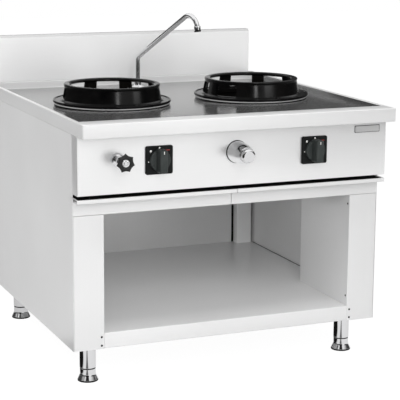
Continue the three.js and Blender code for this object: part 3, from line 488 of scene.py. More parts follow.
# Steel bowl that the flames have tinted straw and blue; the tint goes by the distance from the bowl's axis
def heatTinted(centre):
    made = Finish("heatTinted", Metallic=0.95)
    x, y, _ = made.node("SeparateXYZ", {0: made.place}).outputs
    across = made.maths("SUBTRACT", made.maths("ABSOLUTE", x), centre[0])
    flat = made.node("CombineXYZ", {0: across, 1: made.maths("SUBTRACT", y, centre[1])}).outputs[0]
    smoke = made.maths("ADD", made.vector("LENGTH", flat), made.ramp(made.noise(18.0, 4.0, 0.6), -0.03, 0.03))
    tints = made.node("ValToRGB", {0: made.patches(smoke, 0.05, 0.18)})
    steps = tints.color_ramp.elements
    steps[0].color, steps[1].color = (0.10, 0.10, 0.13, 1), (0.42, 0.41, 0.40, 1)
    steps.new(0.45).color = (0.34, 0.26, 0.17, 1)
    made.color(tints.outputs[0])
    made.rough(made.ramp(made.noise(90.0, 3.0, 0.6), 0.32, 0.5))
    return made.material


# Black rubber of the pads, with grey dust in patches
def rubberFinish():
    made = Finish("padRubber", Metallic=0.0, Specular_IOR_Level=0.15)
    grain = made.noise(500.0, 3.0, 0.6)
    made.color(made.blend(made.patches(made.noise(40.0), 0.4, 0.7), (0.002, 0.002, 0.002, 1), (0.006, 0.006, 0.006, 1)))
    made.rough(made.ramp(grain, 0.6, 0.8))
    made.bump(grain, 0.0002, 0.5)
    return made.material


chrome = polishedChrome(0.86, 0.045)
enamel = castEnamel()
iron = castIron()
rubber = rubberFinish()
# tone, roughness, wear, shine
knobPlastic = mouldedPlastic("knobPlastic", (0.022, 0.026, 0.025), 0.5, 0.01)
platePlastic = mouldedPlastic("platePlastic", (0.004, 0.0045, 0.0045), 0.5, 0.004, 0.16)
wheelPlastic = mouldedPlastic("wheelPlastic", (0.010, 0.010, 0.010), 0.4, 0.006)
# black plastic of the seals, gasket, backing, spout tip and dark screw heads, also used for the strips and sheet that
# paint shade into gaps
sealPlastic = mouldedPlastic("sealPlastic", (0.002, 0.002, 0.002), 0.7, 0.003)
whitePrint = mouldedPlastic("whitePrint", (0.72, 0.72, 0.70), 0.55)
redPrint = mouldedPlastic("redPrint", (0.36, 0.05, 0.045), 0.55)
tubeSteel = turnedMetal("tubeSteel", (0.60, 0.60, 0.61), 0.32)
brass = turnedMetal("brass", (0.66, 0.47, 0.21), 0.3)
blankPlate = brushedSheet("blankPlate", "x", 0.55, 0.3).material
print("materials made")

worktop = {"sheet": 0.002, "gauge": 0.0016, "edge": 0.0022, "corner": 0.005, "leastCorner": 0.0004, "panCorner": 0.0003,
           "hem": 0.014, "rimSide": 0.014, "rimFront": 0.075, "dropFront": 0.010, "dropRear": 0.027, "fillet": 0.0025,
           "holeRadius": 0.165, "holeLip": 0.008, "flatsRound": 96, "reach": (0, 0, 0.03, 0.3, 0.65, 1), "far": 9}
topLow, topHigh, _ = boxOf("worktop")
splashLow, splashHigh, _ = boxOf("backsplash")
wokCentre = boxOf("wok_ring_right")[2]
recess = {"half": topHigh[0] - worktop["rimSide"], "front": topLow[1] + worktop["rimFront"],
          "rear": splashLow[1], "top": topHigh[2]}


# Height of the pan's floor: falls evenly from the front drop to the rear drop
def panHeight(y):
    share = (y - recess["front"]) / (recess["rear"] - recess["front"])
    return recess["top"] - worktop["dropFront"] - share * (worktop["dropRear"] - worktop["dropFront"])


# Half of the pan round a burner hole: P(t, a) = centre + (R + t (edge(a) - R)) (cos a, sin a), on the sloping floor
def panHalf(side, v):
    centre = np.array([side * wokCentre[0], wokCentre[1]])
    x0, x1 = sorted((0.0, side * recess["half"]))
    y0, y1 = recess["front"], recess["rear"]
    corners = np.array([math.atan2(y - centre[1], x - centre[0]) for x in (x0, x1) for y in (y0, y1)])
    even = np.arange(v["flatsRound"]) * 2 * np.pi / v["flatsRound"] - np.pi
    angle = np.sort(np.concatenate([even, corners]))
    way = np.stack([np.cos(angle), np.sin(angle)])
    wall = np.where(way > 0, np.array([[x1], [y1]]), np.array([[x0], [y0]])) - centre[:, None]
    wall = wall / np.where(np.abs(way) < shaping["tiny"], shaping["tiny"], way)
    edge = np.where(wall > 0, wall, v["far"]).min(0)
    reach = v["holeRadius"] + np.array(v["reach"])[:, None] * (edge[None] - v["holeRadius"])
    x, y = centre[0] + reach * way[0], centre[1] + reach * way[1]
    z = panHeight(y)
    z[0] -= v["holeLip"]
    return np.stack([x, y, z], -1).reshape(-1, 3), gridQuads(*x.shape).tolist()


# Rings from the hem round the edge and the rim into the pan; where the edge is rounded they step by roundedEdge
def worktopParts(v):
    half, front, rear, low, high = topHigh[0], topLow[1], topHigh[1], topLow[2], topHigh[2]
    e = v["edge"]
    bySine, byCosine = roundedEdge(e)
    inset = np.r_[v["hem"], bySine, byCosine]
    height = np.r_[low, low + byCosine, high - bySine]
    outer = oblongRings(-half + inset, half - inset, front + inset, rear - inset, height,
                        np.maximum(v["corner"] - inset, v["leastCorner"]), capped=False)
    step = np.r_[-e, -bySine, 0]
    down = np.r_[0, 0, byCosine, v["dropFront"] - v["fillet"]]
    rim = oblongRings(
        np.r_[-half + e, -recess["half"] + step], np.r_[half - e, recess["half"] - step],
        np.r_[front + e, recess["front"] + step], np.r_[rear - e, recess["rear"] - step],
        high - down, np.r_[v["corner"] - e, step * 0 + v["panCorner"]], capped=False)[0].reshape(len(down), -1, 3)
    floor = rim[-1:].copy()
    floor[..., 2] = panHeight(floor[..., 1])
    rim = np.concatenate([rim, floor])
    return [outer, (rim.reshape(-1, 3), gridQuads(*rim.shape[:2]).tolist()), panHalf(-1, v), panHalf(1, v)]


makePiece("worktopSheet", worktopParts(worktop), panAndRim(panFinish, recess), stands="worktop",
          gauge=worktop["gauge"], upright=(0, 0, 1), smoothBelow=40)

backsplash = {"edge": 0.0015, "slopeRise": 0.009, "slopeDepth": 0.010}


# Upright box whose top edge leans back by slopeDepth while it rises by slopeRise, then rounds to the flat top
def backsplashParts(v):
    e = v["edge"]
    bySine, byCosine = roundedEdge(e)
    inset = np.r_[0, 0, byCosine]
    setBack = np.array([0, 0, 1, 1, 1, 1]) * v["slopeDepth"]
    height = np.r_[splashLow[2], splashHigh[2], splashHigh[2] + v["slopeRise"] - bySine]
    return [oblongRings(splashLow[0] + inset, splashHigh[0] - inset, splashLow[1] + setBack + inset,
                        splashHigh[1] - inset, height, e - inset * 0.9)]


makePiece("splashSheet", backsplashParts(backsplash), splashAndTop(splashFinish, splashHigh[2]), stands="backsplash")
print("worktop and backsplash made")

cabinet = {"sheet": 0.0015, "bend": 0.0012, "flange": 0.015, "railLip": 0.020, "railTop": 0.040, "seam": 0.0009,
           "hem": 0.004, "hemInset": 0.0003, "underFront": 0.0006, "underRear": 0.002, "overRear": 0.004,
           "baseInset": 0.002, "baseCorner": 0.003}
gaugeOf, bendOf, flangeOf = cabinet["sheet"], cabinet["bend"], cabinet["flange"]


# A sheet bent to a line of points and drawn out along an axis
def bent(points, axis, start, end, inward=1):
    return drawnOut(bentSheet(points, gaugeOf, bendOf, inward), axis, start, end)


# x of the box's side towards the middle of the range, and of its outer side
def nearFar(low, high, side):
    return (low[0], high[0]) if side > 0 else (high[0], low[0])


# Side panel: a wall returned at the rear, with a hem along its lower and its upper edge
def makeSidePanel(name, side, v):
    low, high, _ = boxOf("side_panel_" + name)
    columnRear = boxOf("front_column_" + name)[1][1]
    near, far = nearFar(low, high, side)
    hemmed = far - side * v["hemInset"]
    wall = [(near, high[1]), (far, high[1]), (far, low[1])]
    under = [(near, low[2]), (hemmed, low[2]), (hemmed, low[2] + v["hem"])]
    over = [(near, high[2]), (hemmed, high[2]), (hemmed, high[2] - v["hem"])]
    parts = [bent(wall, "z", low[2], high[2], -side),
             bent(under, "y", columnRear + v["underFront"], high[1] - v["underRear"], side),
             bent(over, "y", low[1] + v["railTop"], high[1] - v["overRear"], -side)]
    sidePiece("sideSheet", "side_panel", name, parts, satinUp)


# Column: a folded box, open towards the side panel, on a base plate
def makeColumn(name, side, v):
    low, high, _ = boxOf("front_column_" + name)
    near, far = nearFar(low, high, side)
    box = [(far, low[1] + flangeOf), (far, low[1]), (near, low[1]), (near, high[1]), (far, high[1])]
    inset = v["baseInset"]
    base = oblongRings(min(near, far) + inset, max(near, far) - inset, low[1] + inset, high[1] - inset,
                       [low[2], low[2] + gaugeOf], v["baseCorner"])
    sidePiece("columnSheet", "front_column", name, [bent(box, "z", low[2], high[2], -side), base], satinUp)


# Rail and lip along the front, which leave a seam in the middle; beam under the shelf; rear post
def makeFolds(name, side, v):
    seam = v["seam"] if side > 0 else 0, v["seam"] if side < 0 else 0
    low, high, _ = boxOf("top_rail_" + name)
    y = low[1]
    rail = [(y + v["railLip"], low[2]), (y, low[2]), (y, high[2]), (high[1], high[2])]
    sidePiece("railSheet", "top_rail", name, [bent(rail, "x", low[0] + seam[0], high[0] - seam[1], -1)], satinAcross)

    low, high, _ = boxOf("panel_lip_" + name)
    y = low[1]
    lip = [(y + flangeOf, low[2]), (y, low[2]), (y, high[2]), (high[1], high[2]), (high[1], low[2])]
    sidePiece("lipSheet", "panel_lip", name, [bent(lip, "x", low[0] + seam[0], high[0] - seam[1], -1)], satinAcross)

    low, high, _ = boxOf("base_beam_" + name)
    near, far = nearFar(low, high, side)
    beam = [(near + side * flangeOf, high[2]), (near, high[2]), (near, low[2]), (far, low[2]), (far, high[2]),
            (far - side * flangeOf, high[2])]
    sidePiece("beamSheet", "base_beam", name, [bent(beam, "y", low[1], high[1], side)], hiddenSheet)

    low, high, _ = boxOf("rear_post_" + name)
    near, far = nearFar(low, high, side)
    post = [(near, high[1]), (near, low[1]), (far, low[1]), (far, high[1])]
    sidePiece("postSheet", "rear_post", name, [bent(post, "z", low[2], high[2], side)], postSatin)


for name, side in sides.items():
    makeSidePanel(name, side, cabinet)
    makeColumn(name, side, cabinet)
    makeFolds(name, side, cabinet)

shelf = {"wallGap": 0.0018, "flange": 0.020, "skirt": 0.05, "skirtGap": 0.0001, "skirtCorner": 0.0005, "rearGap": 0.002}


# Tray with a front lip between the columns, a wider floor behind them and a skirt at either end
def makeShelf(v):
    low, high, _ = boxOf("bottom_shelf")
    column, columnHigh, _ = boxOf("front_column_right")
    narrow, wide, behind = column[0] - clear, high[0] - v["wallGap"], columnHigh[1] + clear
    top = high[2]
    front = [(low[1] + flangeOf, low[2]), (low[1], low[2]), (low[1], top), (behind, top)]
    back = [(behind, top), (high[1], top), (high[1], top - v["flange"])]
    parts = [bent(front, "x", -narrow, narrow, -1), bent(back, "x", -wide, wide, -1)]
    for side in sides.values():
        skirt = np.sort([side * wide, side * (wide - gaugeOf)])
        height = [top - v["skirt"], top - gaugeOf - v["skirtGap"]]
        parts.append(oblongRings(*skirt, behind, high[1] - v["rearGap"], height, v["skirtCorner"]))
    makePiece("shelfSheet", parts, shelfSatin, stands="bottom_shelf")


makeShelf(shelf)

gapStrips = {"postGap": 0.009, "shelfGap": 0.0032, "lap": 0.001, "fromBack": (0.0011, 0.0003), "overShelf": 0.0005,
             "thin": (0.0001, 0.0009), "wallLap": 0.0002, "corners": (0.0002, 0.0003)}


# Black strips beside the rear posts and along the shelf's ends: painted shade, dark sheets where the gaps there fall
# into shade
def makeShadeStrips(v):
    strips = []
    top = boxOf("bottom_shelf")[1][2]
    column = boxOf("front_column_right")[1]
    back = boxOf("rear_panel_lower")[0][1]
    post, postHigh, _ = boxOf("rear_post_right")
    wall = boxOf("side_panel_right")[1][0] - gaugeOf
    lap = v["lap"]
    for side in sides.values():
        for near, far in ((post[0] - v["postGap"], post[0] + lap), (postHigh[0] - lap, postHigh[0] + v["postGap"])):
            x = np.sort([side * near, side * far])
            strips.append(oblongRings(*x, back - v["fromBack"][0], back - v["fromBack"][1],
                                      [top + v["overShelf"], postHigh[2] - lap], v["corners"][0]))
        x = np.sort([side * (wall - v["shelfGap"]), side * (wall - v["wallLap"])])
        strips.append(oblongRings(*x, column[1] + lap, post[1] - lap, top + np.array(v["thin"]), v["corners"][1]))
    makePiece("gapStrips", strips, sealPlastic)


makeShadeStrips(gapStrips)

panel = {"edge": 0.0022, "sheet": 0.0015, "corner": 0.002, "leastCorner": 0.0005, "shadeSheetEnds": (0.004, 0.012),
         "shadeSheetDepth": (0.003, 0.001), "shadeSheetRise": (0.0001, 0.0007, 0.0009), "shadeSheetCorners": (0.001, 0.001, 0.0007),
         "backRise": 0.012, "backDepth": (0.002, 0.001), "backCorner": 0.001}


# Tray: rings from the rounded front edge back to the rear and forward again inside, by the sheet's gauge
def makeControlPanel(v):
    low, high, _ = boxOf("control_panel")
    bySine, byCosine = roundedEdge(v["edge"])
    inset = np.r_[bySine, 0, v["sheet"], v["sheet"]]
    depth = np.r_[low[1] + byCosine, high[1], high[1], low[1] + v["sheet"]]
    shell = oblongRings(low[0] + inset, high[0] - inset, low[2] + inset, high[2] - inset, depth,
                        np.maximum(v["corner"] - inset * 0.5, v["leastCorner"]), "y")
    makePiece("panelSheet", [shell], panelSatin, stands="control_panel")
    # black sheet laid in the gap under the panel: painted shade that makes the gap dark
    lip, lipHigh, _ = boxOf("panel_lip_left")
    x0, x1 = low[0] + v["shadeSheetEnds"][0], high[0] - v["shadeSheetEnds"][1]
    y1, z = lipHigh[1] - v["shadeSheetDepth"][1], lipHigh[2]
    blackBand = oblongRings(x0, x1, lip[1] + v["shadeSheetDepth"][0], y1, z + np.array(v["shadeSheetRise"]), v["shadeSheetCorners"])
    back = oblongRings(x0, x1, z, low[2] + v["backRise"], y1 - np.array(v["backDepth"]), v["backCorner"], "y")
    makePiece("gapSeal", [blackBand, back], sealPlastic)


makeControlPanel(panel)
for node in ("rear_panel_lower", "rear_panel_upper", "burner_box_floor"):
    mesh = frame["nodes"][node].data
    mesh.materials.clear()
    mesh.materials.append(hiddenSheet if node == "burner_box_floor" else satinUp)
print("cabinet made")

wokRing = {"spigotDepth": 0.009, "flange": 0.0055, "ridge": 0.0025, "ridgeWidth": 0.006, "coneFoot": 0.177,
           "neck": 0.1645, "rim": 0.1665, "mouth": 0.1445, "wall": 0.009, "bead": 0.009, "spigot": 0.1494,
           "spigotWall": 0.007, "windows": 5, "pitch": 45, "windowAngle": 29, "sill": 0.0045, "windowHeight": 0.0425,
           "first": {"left": -14, "right": 33.5}, "levels": 7, "flatsRound": 120, "tooNear": 1.2}
lug = {"angle": 275, "size": 0.014, "sunk": 0.003, "rise": (0.004, 0.0055, 0.006), "inset": (0, 0, 0.0006, 0.002),
       "corner": 0.003}


# Angle from one direction to another, between -pi and pi
def turnTo(angle, other):
    return (angle - other + np.pi) % (2 * np.pi) - np.pi


# Section of a ring, and the rows where its outer and its inner wall start. A wall's radius falls evenly from the
# cone's foot to its neck
def ringSection(v, low, top, plate, radius):
    bead, head = top - v["bead"], plate + 0.001 + v["windowHeight"]
    foot = v["coneFoot"] - 0.003

    def outerAt(z):
        return foot + (v["neck"] - v["coneFoot"] + 0.003) * (z - plate) / (bead - plate)

    def innerAt(z):
        return outerAt(z) - v["wall"]

    levels = np.linspace(plate + v["sill"], head, v["levels"])
    flat, spigotInner = radius - v["ridgeWidth"], v["spigot"] - v["spigotWall"]
    flange = softRows([
        (spigotInner, low), (v["spigot"], low, 0.002), (v["spigot"], low + v["spigotDepth"]),
        (radius, low + v["spigotDepth"], 0.002), (radius, plate + v["ridge"], 0.0016),
        (flat + 0.002, plate + v["ridge"], 0.0012), (flat, plate, 0.0008), (flat - 0.002, plate)])
    cone = softRows([(flat, plate), (v["coneFoot"] + 0.001, plate, 0.005), (outerAt(plate + 0.010), plate + 0.010)])
    cone = cone[cone[:, 1] < levels[0] - 0.0005]
    rim = softRows([
        (outerAt(head + 0.0005), head + 0.0005), (v["neck"], bead, 0.0015), (v["rim"], bead + 0.003, 0.002),
        (v["rim"], top - 0.001, 0.004), (v["rim"] - 0.008, top, 0.006), (v["mouth"] + 0.003, top - 0.001, 0.005),
        (v["mouth"], bead + 0.002, 0.003), (v["mouth"] + 0.004, bead - 0.001, 0.003), (innerAt(head), head + 0.0005)])
    outerBand = np.stack([outerAt(levels), levels], 1)
    innerBand = np.stack([innerAt(levels), levels], 1)[::-1]
    end = np.array([(innerAt(plate), plate - 0.001), (spigotInner, plate - 0.001)])
    outerStart = len(flange) + len(cone)
    innerStart = outerStart + len(levels) + len(rim)
    return np.vstack([flange, cone, outerBand, rim, innerBand, end]), outerStart, innerStart


# The section turned about its axis. Between sill and head the quads inside a window's angles are left out, and its
# four reveals join the outer and inner walls there
def windowedRing(name, v):
    low, high, centre = boxOf("wok_ring_" + name)
    plate = low[2] + v["spigotDepth"] + v["flange"]
    radius = (high[0] - low[0]) / 2
    line, outerStart, innerStart = ringSection(v, low[2], high[2], plate, radius)
    middles = v["first"][name] + np.arange(v["windows"]) * v["pitch"]
    halfWindow = v["windowAngle"] / 2
    edges = np.radians(np.stack([middles - halfWindow, middles + halfWindow], 1)) % (2 * np.pi)
    even = np.arange(v["flatsRound"]) * 2 * np.pi / v["flatsRound"]
    near = (np.abs(turnTo(even[:, None], edges.ravel()[None])) < np.radians(v["tooNear"])).any(1)
    angle = np.sort(np.concatenate([even[~near], edges.ravel()]))
    n, count, bandRows = len(angle), len(line), v["levels"] - 1
    points = np.stack([centre[0] + line[:, :1] * np.cos(angle), centre[1] + line[:, :1] * np.sin(angle),
                       np.repeat(line[:, 1:], n, 1)], -1).reshape(-1, 3)
    middle = (angle + ((np.roll(angle, -1) - angle) % (2 * np.pi)) / 2)[:, None]
    opened = (np.abs(turnTo(middle, np.radians(middles)[None])) < np.radians(halfWindow)).any(1)
    rows = np.arange(count)[:, None]
    inBand = (((rows >= outerStart) & (rows < outerStart + bandRows))
              | ((rows >= innerStart) & (rows < innerStart + bandRows)))
    quads = gridQuads(count, n, True)[~(inBand & opened[None]).ravel()]
    j = np.nonzero(opened)[0]
    after = (j + 1) % n
    o0, o1 = outerStart * n, (outerStart + bandRows) * n
    i0, i1 = (innerStart + bandRows) * n, innerStart * n
    sillFaces = np.stack([o0 + j, i0 + j, i0 + after, o0 + after], 1)
    headFaces = np.stack([o1 + j, o1 + after, i1 + after, i1 + j], 1)
    starts, ends = j[~opened[(j - 1) % n]], (j[~opened[after]] + 1) % n
    m = np.arange(bandRows)[:, None] * n
    jambs = [np.stack(np.broadcast_arrays(o0 + m + e, o0 + m + n + e, i0 - m - n + e, i0 - m + e), -1).reshape(-1, 4)
             for e in (starts[None], ends[None])]
    faces = np.concatenate([quads, sillFaces, headFaces, *jambs]).tolist()
    return [(points, faces), lugBlock(lug, centre, plate, radius - v["ridgeWidth"])]


# Lug on the flange: a small rounded block, turned about the ring's axis and set against the ridge
def lugBlock(v, centre, plate, ridge):
    turn, inset, half = math.radians(v["angle"]), np.array(v["inset"]), v["size"] / 2
    height = plate + np.array([-v["sunk"], *v["rise"]])
    block, faces = oblongRings(-half + inset, half - inset, -half + inset, half - inset, height,
                               v["corner"] - inset * 0.5)
    spin = np.array([[math.cos(turn), math.sin(turn), 0], [-math.sin(turn), math.cos(turn), 0], [0, 0, 1]])
    return (block + [ridge - half + 0.001, 0, 0]) @ spin + [centre[0], centre[1], 0], faces


seat = {"bore": 0.150, "collar": 0.162, "flats": 120, "overTop": 0.004, "trimHeight": 0.0035, "trimDown": 0.0012,
        "trimIn": 0.0005, "trimOut": 0.0012, "trimCorner": 0.0006}


# Seat ring with a collar that reaches down through the hole, and a bright trim line round its upper edge
def makeSeat(name, v):
    low, high, (x, y, _) = boxOf("seat_ring_" + name)
    rim, top = high[0] - x, high[2]
    foot = panHeight(y + rim)
    points, faces = turned([
        (v["bore"], low[2]), (v["collar"], low[2], 0.002), (v["collar"], foot - 0.002), (rim, foot, 0.001),
        (rim, top, 0.002), (v["bore"], top, 0.002)], (x, y, 0), "z", v["flats"], closedLine=True)
    # the seat's foot follows the sloping pan
    sunk = points[:, 2] < top - v["overTop"]
    outside = np.hypot(points[:, 0] - x, points[:, 1] - y) > v["collar"] + 0.002
    points[:, 2] = np.where(sunk & outside, panHeight(points[:, 1]) + clear, points[:, 2])
    sidePiece("seatRing", "seat_ring", name, [(points, faces)], enamel)
    upper = top - v["trimDown"]
    lower, inner, outer, corner = upper - v["trimHeight"], rim - v["trimIn"], rim + v["trimOut"], v["trimCorner"]
    trim = turned([(inner, lower, corner), (outer, lower, corner), (outer, upper, corner), (inner, upper, corner)],
                  (x, y, 0), "z", v["flats"], 3, True)
    makePiece("seatTrim" + name.title(), [trim], blankPlate)


burner = {"flats": 72, "flangeAt": 0.054, "ports": 36, "portDepth": 0.035, "portBand": 0.0085, "portsFrom": 0.02}


# Cast head on its mixing tube; in the port band the radius is drawn in wherever cos (36 a) > 0
def makeBurner(name, v):
    low, high, (x, y, _) = boxOf("burner_" + name)
    r, b, t = (high[0] - low[0]) / 2, low[2], high[2]
    flange = b + v["flangeAt"]

    def ported(rr, h, a):
        inBand = (h > t - v["portBand"]) & (rr > v["portsFrom"])
        return np.where(inBand, rr * (1 - v["portDepth"] * (np.cos(a * v["ports"]) > 0)), rr)

    head = turned([
        (0, b), (0.019, b, 0.001), (0.014, b + 0.019, 0.004), (0.014, flange - 0.014, 0.006), (0.042, flange, 0.002),
        (r, flange, 0.0015), (r, flange + 0.006, 0.002), (0.048, flange + 0.008, 0.003), (0.048, t - 0.009, 0.003),
        (0.039, t, 0.003), (0, t)], (x, y, 0), "z", v["flats"], wave=ported)
    sidePiece("burnerHead", "burner", name, [head], iron)


bowl = {"flats": 96, "floor": (0.056, 0.119), "wall": 0.175, "flange": 0.188, "sheet": 0.002, "bend": 0.02}


# Round bowl of thin sheet whose flange follows the sloping pan from below
def makeBowl(name, v):
    low, high, (x, y, _) = boxOf("burner_bowl_" + name)
    b, t, g, bend = low[2], high[2], v["sheet"], v["bend"]
    inner, outer = v["floor"]
    points, faces = turned([
        (inner, b), (outer, b + 0.018, bend), (v["wall"], b + 0.056, bend), (v["wall"], t - g, 0.001),
        (v["flange"], t - g), (v["flange"], t), (v["wall"] - g, t, 0.003), (v["wall"] - g, b + 0.057, bend),
        (outer - 0.001, b + 0.020, bend), (inner, b + g)], (x, y, 0), "z", v["flats"], 5, True)
    under = panHeight(points[:, 1]) - worktop["sheet"] - clear
    flat = points[:, 2] > t - g - 0.0015
    points[:, 2] = np.where(flat, points[:, 2] - t + under, points[:, 2])
    sidePiece("bowl", "burner_bowl", name, [(points, faces)], bowlFinish)


# Thin pilot tube with a wider tip
def makePilot(name):
    low, high, (x, y, _) = boxOf("pilot_burner_" + name)
    b, t = low[2], high[2]
    pilot = turned([(0, b), (0.005, b, 0.0005), (0.005, t - 0.008, 0.001), (0.007, t - 0.006, 0.001),
                    (0.007, t, 0.001), (0, t)], (x, y, 0), "z", 24)
    sidePiece("pilot", "pilot_burner", name, [pilot], brass)


bowlFinish = heatTinted(wokCentre)
for name in sides:
    sidePiece("wokRing", "wok_ring", name, windowedRing(name, wokRing), enamel, body="wok_ring_" + name,
              bevel=0.0009, smoothBelow=50)
    makeSeat(name, seat)
    makeBurner(name, burner)
    makeBowl(name, bowl)
    makePilot(name)
print("rings and burners made")

knob = {"corner": 0.006, "disc": 0.010, "discRadius": 0.035, "grip": (0.027, 0.075), "shaft": 0.004,
        "plateInset": (0, 0, 0.0006, 0.0018, 0.0022), "plateDepth": (0.002, 0.0007, 0, 0),
        "gripInset": (-0.0015, -0.0012, 0, 0.0006, 0.002, 0.004), "gripDepth": (0.010, 0.003, 0.0007, 0),
        "mark": 0.0003, "markSunk": 0.0002}
# a dot for off above the knob, a small square and a bar beside it, a pointer on the grip:
# place from the knob's axis, width and height, and whether it turns with the knob
marks = {
    "offDot": (0, 0.040, 0.0055, 0.0055, False), "flameMark": (-0.030, 0.030, 0.0065, 0.0075, False),
    "lowMark": (-0.038, -0.004, 0.0035, 0.0035, False), "redMark": (0.027, 0.0315, 0.016, 0.0022, False),
    "gripPointer": (0, 0.029, 0.0022, 0.010, True),
}


# Square plate with a round disc and a bar grip: rings that step inwards towards the front
def makeKnob(name, v):
    low, high, (x, _, z) = boxOf("knob_plate_" + name)
    front, rear = low[1], high[1]
    inset, depth = np.array(v["plateInset"]), np.r_[rear, front + np.array(v["plateDepth"])]
    plate = oblongRings(low[0] + inset, high[0] - inset, low[2] + inset, high[2] - inset, depth,
                        v["corner"] - inset * 0.8, "y")
    sidePiece("knobPlate", "knob_plate", name, [plate], platePlastic)
    lowKnob, highKnob, _ = boxOf("knob_" + name)
    discRear = front - clear
    discFront = discRear - v["disc"]
    disc = turned([
        (0, highKnob[1]), (v["shaft"], highKnob[1], 0.0005), (v["shaft"], discRear),
        (v["discRadius"], discRear, 0.0004), (v["discRadius"] - 0.0005, discFront, 0.0025), (0, discFront)],
        (x, 0, z), "y", 72, 5)
    wide, tall = np.array(v["grip"]) / 2
    inset = np.array(v["gripInset"])
    end = np.maximum(inset, 0)
    reach = np.r_[discRear - 0.004, discFront - 0.001, lowKnob[1] + np.array(v["gripDepth"])]
    grip = oblongRings(x - wide + inset, x + wide - inset, z - tall + end, z + tall - end, reach,
                       v["corner"] - end * 0.7, "y")
    sidePiece("knobGrip", "knob", name, [disc, grip], knobPlastic, body="knob_" + name)
    for label, (beside, above, width, height, turns) in marks.items():
        cx, cz, w, h, at = x + beside, z + above, width / 2, height / 2, lowKnob[1] if turns else front
        shape = oblongRings(cx - w, cx + w, cz - h, cz + h, [at + v["markSunk"], at - v["mark"]],
                            min(width, height) * 0.49, "y")
        makePiece(label + name.title(), [shape], redPrint if label == "redMark" else whitePrint,
                  body="knob_" + name if turns else "range")


for name in sides:
    makeKnob(name, knob)

stopValve = {"lobes": 7, "scallop": 0.19, "scallopFrom": 0.45, "scallopOver": 0.4, "scallopPower": 0.8,
             "rimDepth": 0.018, "dish": 0.015}


# Valve body through the panel, a wheel with lobes and a bright hub in its dish
def makeStopValve(v):
    low, high, (x, _, z) = boxOf("stop_valve")
    tip, face = low[1], boxOf("control_panel")[0][1] - clear
    body = turned([
        (0, tip), (0.0093, tip, 0.0005), (0.011, tip + 0.002, 0.001), (0.011, tip + 0.018, 0.001),
        (0.0145, tip + 0.021, 0.001), (0.0145, tip + 0.034, 0.001), (0.011, tip + 0.037, 0.001),
        (0.011, face - 0.013, 0.002), (0.019, face - 0.012, 0.005), (0.022, face - 0.004, 0.003),
        (0.022, face, 0.001), (0.011, face), (0.011, face + 0.0025), (0.016, face + 0.0025, 0.001),
        (0.016, high[1], 0.001), (0, high[1])], (x, 0, z), "y", 48)
    makePiece("stopBody", [body], chrome, stands="stop_valve")
    low, high, _ = boxOf("handwheel")
    rim, f, dish = (high[2] - low[2]) / 2, low[1], v["dish"]

    # radius is drawn in by scallop |sin(lobes a / 2)| ^ 0.8 towards the rim, a measured from straight up
    def lobed(r, h, a):
        share = np.clip((r / rim - v["scallopFrom"]) / v["scallopOver"], 0, 1) * (h < high[1] - v["rimDepth"])
        dip = np.abs(np.sin(v["lobes"] * (a - np.pi / 2) / 2)) ** v["scallopPower"]
        return r * (1 - v["scallop"] * share * dip)

    wheel = turned([
        (0, high[1]), (0.005, high[1], 0.0005), (0.005, f + 0.026), (0.012, f + 0.026, 0.002),
        (0.015, f + 0.014, 0.002), (rim * 0.86, f + 0.0142, 0.003), (rim, f + 0.011, 0.004), (rim, f + 0.004, 0.003),
        (rim * 0.90, f + 0.0003, 0.004), (dish + 0.003, f, 0.002), (dish, f + 0.001, 0.0008),
        (dish - 0.002, f + 0.005, 0.0015), (0, f + 0.005)], (x, 0, z), "y", 140, 5, wave=lobed)
    makePiece("wheel", [wheel], wheelPlastic, body="handwheel", stands="handwheel", smoothBelow=60)
    hub = turned([
        (0, f + 0.0052), (dish - 0.0028, f + 0.0052, 0.0003), (dish - 0.003, f + 0.003, 0.001),
        (0.0075, f + 0.0042, 0.001), (0.0065, f + 0.0022, 0.001), (0.0025, f + 0.0016, 0.0008), (0, f + 0.0022)],
        (x, 0, z), "y", 48)
    makePiece("wheelHub", [hub], chrome, body="handwheel")


makeStopValve(stopValve)

pushValve = {"flats": 96, "bore": 0.0232, "nose": 0.0258, "waist": 0.0318, "foot": 0.0362, "stub": 0.0165,
             "gasket": 0.0378, "gasketIn": 0.0175, "gasketDepth": 0.0015, "bellGap": 0.0016, "capEdge": 0.005}


# Bell turned about the button's axis, on a black gasket, with a domed button in its nose
def makePushValve(v):
    low, high, (x, _, z) = boxOf("push_valve")
    f, face, flats = low[1], boxOf("control_panel")[0][1] - clear, v["flats"]
    foot = face - v["bellGap"]
    bell = turned([
        (0, face - 0.05), (v["bore"], face - 0.05), (v["bore"], f, 0.0008), (v["nose"], f, 0.0015),
        (0.0282, f + 0.009, 0.004), (v["waist"], f + 0.023, 0.006), (0.0345, face - 0.026, 0.008),
        (v["foot"], face - 0.008, 0.008), (v["foot"], foot, 0.001), (v["stub"], foot), (v["stub"], face + 0.002),
        (0.018, face + 0.002, 0.0008), (0.018, high[1], 0.001), (0, high[1])], (x, 0, z), "y", flats, 6)
    makePiece("pushBell", [bell], chrome, stands="push_valve")
    inner, outer, gasketFront = v["gasketIn"], v["gasket"], face - v["gasketDepth"]
    gasket = turned([(inner, gasketFront), (outer, gasketFront, 0.0004), (outer, face, 0.0002), (inner, face)],
                    (x, 0, z), "y", flats, 3, True)
    makePiece("pushGasket", [gasket], sealPlastic)
    low, high, _ = boxOf("push_button")
    f, r = low[1], (high[0] - low[0]) / 2
    cap = turned([(0, f), (r - v["capEdge"], f + 0.0004, 0.006), (r, f + v["capEdge"], 0.004), (r, high[1], 0.0005),
                  (0, high[1])], (x, 0, z), "y", flats, 8)
    makePiece("pushCap", [cap], chrome, body="push_button", stands="push_button")


makePushValve(pushValve)

nameplate = {"edge": 0.0006, "corner": 0.0025, "border": 0.0016, "backing": 0.0004, "sunk": 0.0005, "dish": 0.0002}


